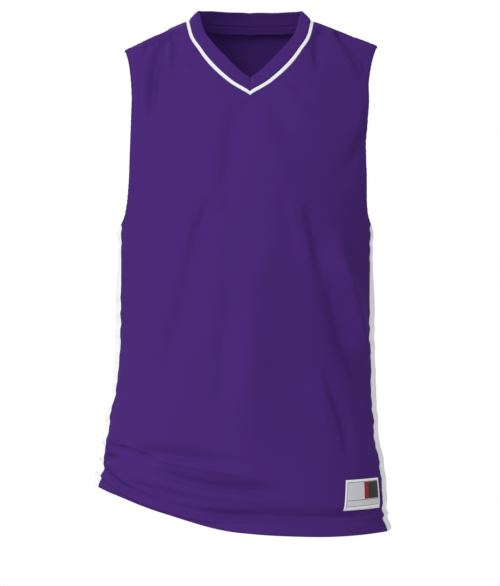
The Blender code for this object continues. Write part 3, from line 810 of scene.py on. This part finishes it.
def panel_form(face):
    """The uncreased panel: points, turns and heights above the hem, by rows from the hem up."""
    share = shares()
    rows = []
    for above in trunk_rows():
        turn, height = trunk_row(face, share, above)
        here = all_round(face, turn)
        rows.append((trunk_point(here, height), here, np.full(share.shape, above)))
    top_x, top_climb = panel_tops(face, share)
    tip_x = tip(share, "out")
    section_share = np.abs(np.sin(np.radians(turn)) / np.sin(np.radians(turn[-1])))
    section_share = section_share ** (2 / ROUND_TRUNK) * np.sign(share)
    short = 90 - top_climb
    lag = np.clip(ROW_LAG / np.maximum(short, 1), 1, MOST_LAG)
    for up in np.linspace(0, 1, YOKE_ROWS + 1)[1:] ** ROW_GATHER:
        rise = np.sin(np.radians(90 * up)) ** (2 / ROUND_YOKE[face])
        edge = read(ARMHOLE, FACE_NAME[face], rise)
        edge = edge + (tip_x - ARMHOLE[-1].front) * rise**TIP_REACH
        across = section_share * (1 - ease(up)) + top_x / tip_x * ease(up)
        x = read(SECTIONS, "centre", UNDERARM) * (1 - rise) + edge * across
        points = yoke_point(face, x, 90 * up - short * up**lag)
        rows.append((points, turn_of(face, points), np.full(share.shape, LENGTH)))
    points, turn, above = (np.array(part) for part in zip(*rows))
    points[-1, :, 1] += face * SEAM_GAP / 2 * (np.abs(share) >= NECK_SHARE)
    return points, turn, above


print("the shoulder line ends at x =", tip([-1, 1], "out") * [-1, 1], "mm")


# %% Grids of the inserts
DIP_POWER = 1.5


def insert_form(side):
    """The uncreased side insert: points, turns and heights above the hem."""
    half_strip = STRIP_HALF - SEAM_GAP / 2
    dip = UNDERARM_DIP * np.sin(np.linspace(0, np.pi, INSERT_COLUMNS + 1)) ** DIP_POWER
    rows = []
    for above in trunk_rows():
        up = above / LENGTH
        height = np.full(INSERT_COLUMNS + 1, UNDERARM)
        for _ in range(3):
            first = seam_turn(FRONT, height[0], half_strip)
            last = 180 - seam_turn(BACK, height[-1], half_strip)
            turn = np.linspace(first, last, INSERT_COLUMNS + 1) * side
            height = read(HEM, "height", turn) * (1 - up) + (UNDERARM - dip) * up
        rows.append((trunk_point(turn, height), turn, np.full(turn.shape, above)))
    return tuple(np.array(part) for part in zip(*rows))


print(len(trunk_rows()), "rows by", INSERT_COLUMNS + 1, "columns on an insert")

# %% [markdown]
# ## Creased cloth
# The rises are added up and each point moves along the form's own normal. Below the underarm a panel's sides
# are seams. Above it they are armhole hems, so the rows change from the one kind of edge to the other.


# %% Crease the pieces
def creased(points, turn, above, extra):
    """Points moved out or in by creases, waves, the hem and whatever else is given, and their normals."""
    normal, reach = outward(points, turn)
    fade = np.clip(reach / SHOULDER_FADE, 0, 1)
    down, inward = tucked(turn, above)
    points = points - down[..., None] * np.array([0, 0, 1])
    height = points[..., 2]
    rise = (crease_rise(turn, height) + unevenness(turn, height)) * fade
    rise += banded(above, HEM_BANDS) + extra - inward
    return points + normal * rise[..., None], normal


def panel(face):
    """The creased front or back panel."""
    points, turn, above = panel_form(face)
    along_row = arc(points, 1)
    from_side = np.minimum(along_row, along_row[:, -1:] - along_row)
    along_column = arc(points, 0)
    from_top = along_column[-1:] - along_column
    seam_edge = banded(from_side, SEAM_BANDS)
    seam_edge += side_ripples(from_side, turn, points[..., 2], SIDE_GATHERS)
    armhole_edge = banded(from_side, ARMHOLE_BANDS) + pucker(from_side, along_column, ARMHOLE_GATHER)
    extra = np.where(above < LENGTH, seam_edge, armhole_edge)
    extra += banded(from_top, NECK_BANDS)
    extra += pucker(from_top, along_row, SHOULDER_GATHER)
    extra += pucker(np.abs(above - HEM_STITCH_ABOVE), along_row, HEM_GATHER)
    return creased(points, turn, above, extra)


def insert(side):
    """The creased side insert."""
    points, turn, above = insert_form(side)
    along_row = arc(points, 1)
    from_side = np.minimum(along_row, along_row[:, -1:] - along_row)
    extra = banded(from_side, SEAM_BANDS)
    extra += side_ripples(from_side, turn, points[..., 2], INSERT_GATHERS)
    extra += banded(LENGTH - above, ARMHOLE_BANDS)
    return creased(points, turn, above, extra)


front, front_normal = panel(FRONT)
back, back_normal = panel(BACK)
strips = {side: insert(side) for side in (-1, 1)}
print("front panel", front.shape[:2], "back panel", back.shape[:2])

# %% [markdown]
# ## Turned edges
# Knit cloth is never left raw. Its edges are folded over to the inside: deep at the bottom hem, narrow at
# the sides and armholes, and narrower still at the shoulder and neck seams. A sheet without thickness that
# is really folded over shows a round edge and a second layer from inside, as the real hem does, and needs no
# solid wall.

# %% Fold an edge over
BEND_STEPS = 4


def turned(grid, normal, radius, allowance):
    """The grid with its first row folded over inwards, to a layer behind as deep as the allowance."""
    down = grid[0] - grid[1]
    down /= np.linalg.norm(down, axis=-1, keepdims=True)
    bend = []
    for angle in np.linspace(0, np.pi, BEND_STEPS + 1)[1:]:
        out = down * np.sin(angle) - normal[0] * (1 - np.cos(angle))
        bend.append(grid[0] + out * radius)
    last = max(int(np.searchsorted(arc(grid, 0).mean(1), allowance)), 2)
    behind = grid[1:last] - normal[1:last] * 2 * radius
    points = np.concatenate([behind[::-1], bend[::-1], grid])
    return points, np.concatenate([normal[1:last][::-1], [normal[0]] * BEND_STEPS, normal])


def turned_all(grid, normal, bottom=None, top=None, sides=None):
    """The grid folded over at edges that are given as a radius and an allowance. The sides fold first."""
    if sides:
        for _ in range(2):
            flipped = [np.swapaxes(part, 0, 1)[::-1] for part in (grid, normal)]
            grid, normal = (np.swapaxes(part, 0, 1) for part in turned(*flipped, *sides))
    if top:
        grid, normal = (part[::-1] for part in turned(grid[::-1], normal[::-1], *top))
    if bottom:
        grid, normal = turned(grid, normal, *bottom)
    return grid


print("an edge bends in", BEND_STEPS, "steps")

# %% [markdown]
# ## From a grid to a mesh
# A grid becomes a mesh of four-sided faces. It gets two maps: one in metres, for the knit, and one that
# fills a square, so that its finish can be baked into a picture without overlaps.

# %% Make a mesh from a grid
MAP_MARGIN = 0.01
pieces = {}


def grid_faces(*shape):
    """The four-sided faces of a grid of points, or of many such grids one after another."""
    at = np.arange(np.prod(shape)).reshape(shape)
    corners = [at[..., :-1, :-1], at[..., :-1, 1:], at[..., 1:, 1:], at[..., 1:, :-1]]
    return np.stack(corners, -1).reshape(-1, 4)


def mesh_piece(name, points, faces, material, **maps):
    """A smooth mesh through points in millimetres, with a finish, and maps with a place for each point."""
    mesh = bpy.data.meshes.new(name)
    mesh.from_pydata((points.reshape(-1, 3) * MM).tolist(), [], faces.tolist())
    for map_name, places in maps.items():
        corners = places.reshape(-1, 2)[faces]
        layer = mesh.uv_layers.new(name=map_name)
        layer.data.foreach_set("uv", np.ascontiguousarray(corners, np.float32).ravel())
    mesh.shade_smooth()
    mesh.materials.append(material)
    area = sum(face.area for face in mesh.polygons)
    print(name, len(mesh.polygons) * 2, "triangles,", round(area, 4), "square metres")
    return add_object(name, mesh)


def knit_places(grid):
    """The knit's places in metres, measured from the middle column and the first row."""
    across = arc(grid, 1)
    across -= across[:, [grid.shape[1] // 2]]
    return np.stack([across, arc(grid, 0)], -1) * MM


def cloth(node, grid, material, flip=False, knit_map=None):
    """The sheet of cloth that stands for a node of the packed model."""
    rows, columns = grid.shape[:2]
    faces = grid_faces(rows, columns)
    if flip:
        faces = faces[:, ::-1]
    knit_map = knit_places(grid) if knit_map is None else knit_map
    square = np.meshgrid(*(np.linspace(MAP_MARGIN, 1 - MAP_MARGIN, count) for count in (columns, rows)))
    bake_map = np.stack(square, -1)
    pieces[node] = mesh_piece(node + "_cloth", grid, faces, material, knit=knit_map, OFBake=bake_map)


# %% [markdown]
# ## The four body pieces
# The front and back panels and the two white inserts each get their own turned edges: 22 mm at the bottom
# hem, 9 mm at the sides and armholes, and 6 mm at the shoulder, the neck and an insert's top.

# %% Make the body pieces
BODY_EDGES = {"bottom": (0.9, 22), "top": (0.45, 6), "sides": (0.5, 9)}  # radius and allowance

cloth("front_panel", turned_all(front, front_normal, **BODY_EDGES), purple_knit)
cloth("back_panel", turned_all(back, back_normal, **BODY_EDGES), purple_knit, flip=True)
cloth("side_insert_right", turned_all(*strips[-1], **BODY_EDGES), white_knit, flip=True)
cloth("side_insert_left", turned_all(*strips[1], **BODY_EDGES), white_knit)

# %% [markdown]
# ## Collar band and piping
# The collar is a strip folded along its top edge, with both raw edges caught in the neck seam, and mitred at
# the centre front. The piping is a narrow white strip, stitched down along its middle, so it has two soft
# ridges and a groove. Both are drawn as a cross-section that is carried along the neck seam: reach is the
# distance from the seam, and rise the height above the strip's own plane.

# %% Cross-sections of the collar and the piping
COLLAR_WIDTH = 26.0
PIPING_WIDTH = 5.8
COLLAR_SECTION = table(
    "reach rise",
    (7.6, -2.8), (6.5, -2.4), (6.15, -1.7), (6.6, -0.8), (7.8, 0.0), (11.0, 0.65), (16.0, 0.85),
    (21.0, 0.75), (24.5, 0.45), (25.8, -0.05), (26.3, -0.9), (25.8, -1.75), (24.5, -2.2), (20.0, -1.9),
    (14.0, -1.7), (8.0, -2.2), (2.0, -2.6), (-4.0, -2.7),
)
PIPING_SECTION = table(
    "reach rise",
    (1.5, -1.7), (0.5, -1.2), (0.15, -0.5), (0.5, 0.25), (1.5, 0.75), (2.5, 0.6), (3.05, 0.15), (3.6, 0.6),
    (4.6, 0.75), (5.6, 0.25), (5.95, -0.5), (5.6, -1.2), (4.6, -1.7),
)
GROOVE_ROW = 6  # the place in the piping's section at the bottom of its groove
SECTION_STEPS = 3
print("collar drawn with", len(COLLAR_SECTION), "places and piping with", len(PIPING_SECTION))

# %% Carry a cross-section along the neck seam
MITRE_DIP = 0.9
MITRE_REACH = 1.4
MITRE_TURN = (0.4, 4)


def round_neck(front_edge, back_edge):
    """Values along the two panels' top edges, joined from the centre front round to it again."""
    middle = len(front_edge) // 2
    right_front = front_edge[middle - NECK_COLUMNS : middle + 1][::-1]
    right_back = back_edge[middle - NECK_COLUMNS : middle + 1]
    left_back = back_edge[middle : middle + NECK_COLUMNS + 1]
    left_front = front_edge[middle : middle + NECK_COLUMNS + 1][::-1]
    return np.concatenate([right_front[:-1], right_back, left_back[1:-1], left_front])


def collar_step():
    """The step from the neck seam to the collar's top edge, at each point of the seam."""
    front_at = np.linspace(0, NECK_POINT, NECK_COLUMNS + 1)
    back_at = np.linspace(NAPE, NECK_POINT, NECK_COLUMNS + 1)
    at = np.concatenate([front_at[:-1], back_at[::-1], back_at[1:-1], front_at[::-1]])
    side = np.concatenate([-np.ones(2 * NECK_COLUMNS + 1), np.ones(2 * NECK_COLUMNS)])
    inward, back, up = (read(NECK, column, at) for column in ("top_in", "top_back", "top_up"))
    return np.stack([-side * inward, back, up], -1)


def neck_strip(section):
    """Rows of points and outward normals of a strip along the neck seam."""
    seam = round_neck(front[-1], back[-1])
    seam[0, 0] -= SEAM_GAP / 2
    seam[-1, 0] += SEAM_GAP / 2
    seam_normal = round_neck(front_normal[-1], back_normal[-1])
    step = collar_step()
    out = np.cross(step, np.gradient(seam, axis=0))
    out /= np.linalg.norm(out, axis=-1, keepdims=True)
    along = arc(seam[None], 1)[0]
    from_mitre = np.minimum(along, along[-1] - along)
    dip = MITRE_DIP * np.exp(-((from_mitre / MITRE_REACH) ** 2))
    keys = np.arange(len(section), dtype=float)
    at = np.linspace(0, keys[-1], (len(section) - 1) * SECTION_STEPS + 1)
    rows, normals = [], []
    for reach, rise in zip(*(curve_through(keys, np.array(column), at) for column in zip(*section))):
        share = min(max(reach, 0) / PIPING_WIDTH, 1)
        normal = seam_normal * (1 - share) + out * share
        normal[[0, -1], 0] = 0
        normal /= np.linalg.norm(normal, axis=-1, keepdims=True)
        rows.append(seam + step * reach / COLLAR_WIDTH + normal * (rise - dip)[:, None])
        normals.append(normal)
    return np.array(rows), np.array(normals)


piping, piping_normal = neck_strip(PIPING_SECTION)
cloth("collar_band", turned_all(*neck_strip(COLLAR_SECTION), sides=MITRE_TURN), purple_knit, flip=True)
cloth("neck_piping", turned_all(piping, piping_normal, sides=MITRE_TURN), white_knit, flip=True)

# %% [markdown]
# ## The label
# Near the hem on the wearer's left sits a woven label: a silvery satin patch with a white overlocked border,
# a thin dark frame line, a red stripe and a dark block. It follows the cloth underneath, so its points come
# from the same form, moved out a little. It carries no words and no mark.

# %% Make the label's patch
LABEL_FOOT = 34.0
LABEL_HEIGHT = 43.0
LABEL_LEFT = (0.553, 0.577)  # shares of the panel's half at the label's foot and at its top
LABEL_RIGHT = (0.925, 0.912)
LABEL_COLUMNS = 66
LABEL_ROWS = 40
LABEL_LIFT = 1.3
LABEL_BANDS = [Band(1.6, 1.2, 0.35), Band(0, 0.7, -0.5)]

label_rows = []
for up in np.linspace(0, 1, LABEL_ROWS + 1):
    ends = [foot + (top - foot) * up for foot, top in (LABEL_LEFT, LABEL_RIGHT)]
    above = LABEL_FOOT + LABEL_HEIGHT * up
    turn, height = trunk_row(FRONT, np.linspace(*ends, LABEL_COLUMNS + 1), above)
    label_rows.append((trunk_point(turn, height), turn, np.full(turn.shape, above)))
points, turn, above = (np.array(part) for part in zip(*label_rows))
patch, patch_normal = creased(points, turn, above, np.zeros(above.shape))
across, up = arc(patch, 1), arc(patch, 0)
LABEL_WIDE, LABEL_TALL = across[:, -1].mean(), up[-1].mean()
across *= LABEL_WIDE / across[:, -1:]
up *= LABEL_TALL / up[-1:]
to_edge = np.minimum(np.minimum(across, LABEL_WIDE - across), np.minimum(up, LABEL_TALL - up))
label = patch + patch_normal * (LABEL_LIFT + banded(to_edge, LABEL_BANDS))[..., None]
print("label", round(LABEL_WIDE, 1), "by", round(LABEL_TALL, 1), "mm")

# %% [markdown]
# ## The label's finish
# Satin weave has long floats that catch the light, so this finish is smoother than the knit and finely
# striped along its length. Its fields are rectangles, and a rectangle is a product of four comparisons of
# the place on the patch.

# %% Satin for the label
WHITE = (0.92, 0.92, 0.93, 1)
SILVER = (0.56, 0.55, 0.60, 1)
BRIGHT_SILVER = (0.76, 0.75, 0.80, 1)
DARK = (0.020, 0.015, 0.016, 1)
LINE = (0.10, 0.075, 0.10, 1)
RED = (0.30, 0.003, 0.014, 1)
SATIN_PITCH = 0.0004
SATIN_DEPTH = 0.00008
SATIN_RELIEF = 0.5
BORDER_ROUGHNESS = 0.62
SATIN_SHINE = 0.2  # less roughness inside the border
THREAD_GAP_ROUGHNESS = 0.06
GRAIN_SCALE = 420.0
SHEEN_PATCH_SCALE = 60.0
LINE_WIDTH = 0.7

Field = namedtuple("Field", "left right foot top")
FRAME = Field(2.6, LABEL_WIDE - 3.6, 5.4, LABEL_TALL - 3.2)
RULE = Field(2.6, LABEL_WIDE - 3.6, 13.9, 14.6)
RED_STRIPE = Field(34.8, 43.7, 15.2, LABEL_TALL - 4.2)
DARK_BLOCK = Field(43.7, LABEL_WIDE - 4.6, 15.2, LABEL_TALL - 4.2)

label_satin, shader, start = new_finish("label_satin", Specular_IOR_Level=0.3)
place, u, v = knit_place(start)


def inside(field, margin=0.0):
    """1 inside a rectangle on the label and 0 outside it."""
    wide = (u > (field.left + margin) * MM) * (u < (field.right - margin) * MM)
    return wide * (v > (field.foot + margin) * MM) * (v < (field.top - margin) * MM)


in_frame = inside(FRAME)
line = (in_frame - inside(FRAME, LINE_WIDTH)).most(inside(RULE))
float_threads = (v / SATIN_PITCH).wave()
grain = place.node("ShaderNodeTexNoise", values={"Vector": place, "Scale": GRAIN_SCALE, "Detail": 2.0})
painted_sheen = place.node("ShaderNodeTexNoise", values={"Vector": place, "Scale": SHEEN_PATCH_SCALE, "Detail": 1.0})
# bright silver is partly the grain's random tone and partly painted sheen in soft patches and painted
# highlights on the floats
silver = grain.mix(grain * 0.3 + painted_sheen * 0.4 + float_threads * 0.3, SILVER, BRIGHT_SILVER)
colour = silver.mix(in_frame, WHITE, silver)
for mask, paint in ((line, LINE), (inside(RED_STRIPE), RED), (inside(DARK_BLOCK), DARK)):
    colour = colour.mix(mask, colour, paint)
colour.feeds(shader, "Base Color")
roughness = BORDER_ROUGHNESS - in_frame * SATIN_SHINE + float_threads * THREAD_GAP_ROUGHNESS
roughness.feeds(shader, "Roughness")
float_threads.raises(shader, SATIN_RELIEF, SATIN_DEPTH)
cloth("hem_label", label, label_satin, knit_map=np.stack([across, up], -1) * MM)

# %% [markdown]
# ## Stitching
# The bottom and armhole hems are each held by a row of stitches, and the piping by one along its groove. The
# label's border is overcast: threads lie side by side across it. A stitch is a short length of twisted
# thread that comes up out of the cloth and goes down again, so each is a small bowed tube with ends under
# the surface. All threads of one colour make one mesh.

# %% A finish for thread
TWIST = 0.0006
PLY_DEPTH = 0.00005
PLY_RELIEF = 0.5
THREAD_ROUGHNESS = 0.62
PLY_SHINE = 0.12


def thread_finish(name, lit, shaded):
    """Twisted thread: slanting plies, a little shinier than the knit, with painted shade in the grooves
    between plies.
    """
    material, shader, start = new_finish(name, Specular_IOR_Level=0.25)
    place, along, around = knit_place(start)
    ply = ((along + around) / TWIST).wave()
    # the plies' tops get the lit colour and the grooves between them the shaded one, as painted shade
    ply.mix(ply, shaded, lit).feeds(shader, "Base Color")
    (THREAD_ROUGHNESS - ply * PLY_SHINE).feeds(shader, "Roughness")
    ply.raises(shader, PLY_RELIEF, PLY_DEPTH)
    return material


purple_thread = thread_finish("purple_thread", (0.080, 0.022, 0.215, 1), (0.045, 0.011, 0.125, 1))
white_thread = thread_finish("white_thread", (0.92, 0.92, 0.93, 1), (0.72, 0.72, 0.75, 1))
print("a ply every", TWIST * 1000, "mm")

# %% Find lines to stitch along
Stitch = namedtuple("Stitch", "length pitch thick bow sink")
HEM_STITCH = Stitch(2.5, 3.2, 0.50, 0.42, 0.22)
PIPING_STITCH = Stitch(2.0, 2.6, 0.38, 0.30, 0.16)
OVERCAST = Stitch(2.7, 0.72, 0.62, 0.32, 0.10)


def between(rows, index):
    """The row at an index that may lie between two rows."""
    low, part = int(index), index % 1
    return rows[low] * (1 - part) + rows[low + 1] * part


def at_level(grid, normal, above):
    """The line across a piece at a height above its hem, with the normals along it."""
    index = np.interp(above, trunk_rows(), np.arange(len(trunk_rows())))
    return between(grid, index), between(normal, index)


def read_line(place, at, line):
    """Values at places along a line of them."""
    return np.stack([np.interp(place, at, line[:, axis]) for axis in range(3)], -1)


def beside_armhole(grid, normal, away, last):
    """The line up a panel at a distance from its armhole edge, which is the first or the last column."""
    if last:
        grid, normal = grid[:, ::-1], normal[:, ::-1]
    yoke = slice(len(trunk_rows()), None)
    rows = [(arc(row[None], 1)[0], row, out) for row, out in zip(grid[yoke], normal[yoke])]
    line = [read_line(away, at, row) for at, row, out in rows]
    normals = [read_line(away, at, out) for at, row, out in rows]
    return np.array(line), np.array(normals)


def along_line(line, normal, kind):
    """The two ends and the outward direction of each stitch in a row along a line."""
    at = arc(line[None], 1)[0]
    first = np.arange(kind.pitch / 2, at[-1] - kind.length, kind.pitch)
    last = first + kind.length
    return read_line(first, at, line), read_line(last, at, line), read_line(first, at, normal), kind


def overcast(grid, normal, kind):
    """Threads laid across a border, from a grid's first row inwards."""
    inner = between(grid, kind.length / LABEL_TALL * LABEL_ROWS)
    at = arc(grid[:1], 1)[0]
    place = np.arange(kind.pitch / 2, at[-1], kind.pitch)
    return *(read_line(place, at, line) for line in (grid[0], inner, normal[0])), kind


print("hem stitches of", HEM_STITCH.length, "mm every", HEM_STITCH.pitch, "mm")

# %% Lay the rows of stitches
purple_rows = []
white_rows = []
for grid, normal in ((front, front_normal), (back, back_normal)):
    purple_rows.append(along_line(*at_level(grid, normal, HEM_STITCH_ABOVE), HEM_STITCH))
    for last in (False, True):
        purple_rows.append(along_line(*beside_armhole(grid, normal, ARMHOLE_STITCH, last), HEM_STITCH))
for grid, normal in strips.values():
    for above in (HEM_STITCH_ABOVE, LENGTH - ARMHOLE_STITCH):
        white_rows.append(along_line(*at_level(grid, normal, above), HEM_STITCH))
groove = GROOVE_ROW * SECTION_STEPS
white_rows.append(along_line(piping[groove], piping_normal[groove], PIPING_STITCH))
label_sides = [np.swapaxes(part, 0, 1) for part in (label, patch_normal)]
for grid, normal in ((label, patch_normal), label_sides):
    white_rows.append(overcast(grid, normal, OVERCAST))
    white_rows.append(overcast(grid[::-1], normal[::-1], OVERCAST))
for colour_name, rows in (("purple", purple_rows), ("white", white_rows)):
    print(sum(len(row[0]) for row in rows), colour_name, "stitches")

# %% Make the threads
THREAD_RINGS = 6
THREAD_SIDES = 6
THREAD_END = 0.15  # of a stitch's thickness that is left at its ends
CELL_MARGIN = 0.08


def threads(name, rows, material):
    """One mesh of small bowed tubes, one for each stitch."""
    t = np.linspace(0, 1, THREAD_RINGS)[:, None]
    angle = np.linspace(0, 2 * np.pi, THREAD_SIDES + 1)
    rings, places = [], []
    for first, last, up, kind in rows:
        chord = (last - first)[:, None]
        up = up[:, None]
        side = np.cross(chord, up)
        side /= np.linalg.norm(side, axis=-1, keepdims=True)
        swell = np.sin(np.pi * t)
        centre = first[:, None] + chord * t + up * (kind.bow * swell - kind.sink)
        radius = kind.thick / 2 * (THREAD_END + (1 - THREAD_END) * swell**0.5)
        spoke = np.cos(angle)[:, None] * side[..., None, :] + np.sin(angle)[:, None] * up[..., None, :]
        rings.append(centre[..., None, :] + radius[..., None] * spoke)
        place = np.stack(np.broadcast_arrays(t * kind.length, angle * kind.thick / 2), -1) * MM
        places.append(np.broadcast_to(place, (len(first), *place.shape)))
    rings = np.concatenate(rings)
    count = len(rings)
    cells = int(np.ceil(np.sqrt(count)))
    corner = np.stack(np.divmod(np.arange(count), cells), -1)[:, None, None]
    local = np.stack(np.broadcast_arrays(t, angle / (2 * np.pi)), -1)
    square = (corner + CELL_MARGIN + (1 - 2 * CELL_MARGIN) * local) / cells
    faces = grid_faces(*rings.shape[:3])
    return mesh_piece(name, rings, faces, material, knit=np.concatenate(places), OFBake=square)


stitching = {
    "purple_knit": threads("purple_threads", purple_rows, purple_thread),
    "white_knit": threads("white_threads", white_rows, white_thread),
}

# %% [markdown]
# ## Replace the plain solids
# Each cloth piece stands for one plain solid, which then isn't shown, and moves with the jersey's one body.
# A table lists each piece's finish slot and the size of its cut.

Cut = namedtuple("Cut", "slot width length area held rests_on")
CUTS = {
    "front_panel": Cut("purple_knit", 0.50, 0.79, 0.318, "hung", ["collar_band_cloth"]),
    "back_panel": Cut("purple_knit", 0.49, 0.79, 0.314, "hung", ["collar_band_cloth"]),
    "side_insert_left": Cut("white_knit", 0.12, 0.47, 0.053, "hung", ["front_panel_cloth"]),
    "side_insert_right": Cut("white_knit", 0.12, 0.43, 0.048, "hung", ["front_panel_cloth"]),
    "collar_band": Cut("purple_knit", 0.52, 0.056, 0.0275, "stretched", ["neck_piping_cloth"]),
    "neck_piping": Cut("white_knit", 0.58, 0.012, 0.0062, "stretched", ["front_panel_cloth"]),
    "hem_label": Cut("label_satin", 0.073, 0.044, 0.0032, "laid", ["front_panel_cloth"]),
}
for node, cut in CUTS.items():
    piece = pieces[node]
    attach(piece, "root")
    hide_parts(node)
for slot, piece in stitching.items():
    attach(piece, "root")
print(len(CUTS), "sheets and", len(stitching), "meshes of thread declared")

# %% [markdown]
# ## Floor
# A plain pale floor lies well below the hem. It is round and ends before the camera's level line, so that
# nothing but white is seen behind the cloth.

# %% Lay the floor
FLOOR_HEIGHT = -1.1
FLOOR_RADIUS = 1.9
FLOOR_SIDES = 96
MOTTLE_SCALE = 3.0

angles = np.linspace(0, 2 * np.pi, FLOOR_SIDES, endpoint=False)
rim = [(FLOOR_RADIUS * np.cos(a), FLOOR_RADIUS * np.sin(a), FLOOR_HEIGHT) for a in angles]
floor_mesh = bpy.data.meshes.new("floor")
floor_mesh.from_pydata(rim, [], [list(range(FLOOR_SIDES))])
floor_paint, shader, start = new_finish("floor_paint", Roughness=0.9)
place = start.node("ShaderNodeTexCoord", output=3)
mottle = place.node("ShaderNodeTexNoise", values={"Vector": place, "Scale": MOTTLE_SCALE})
mottle.mix(mottle, (0.86, 0.86, 0.86, 1), (0.90, 0.90, 0.90, 1)).feeds(shader, "Base Color")
floor_mesh.materials.append(floor_paint)
add_object("floor", floor_mesh)
print("floor at", FLOOR_HEIGHT, "m")
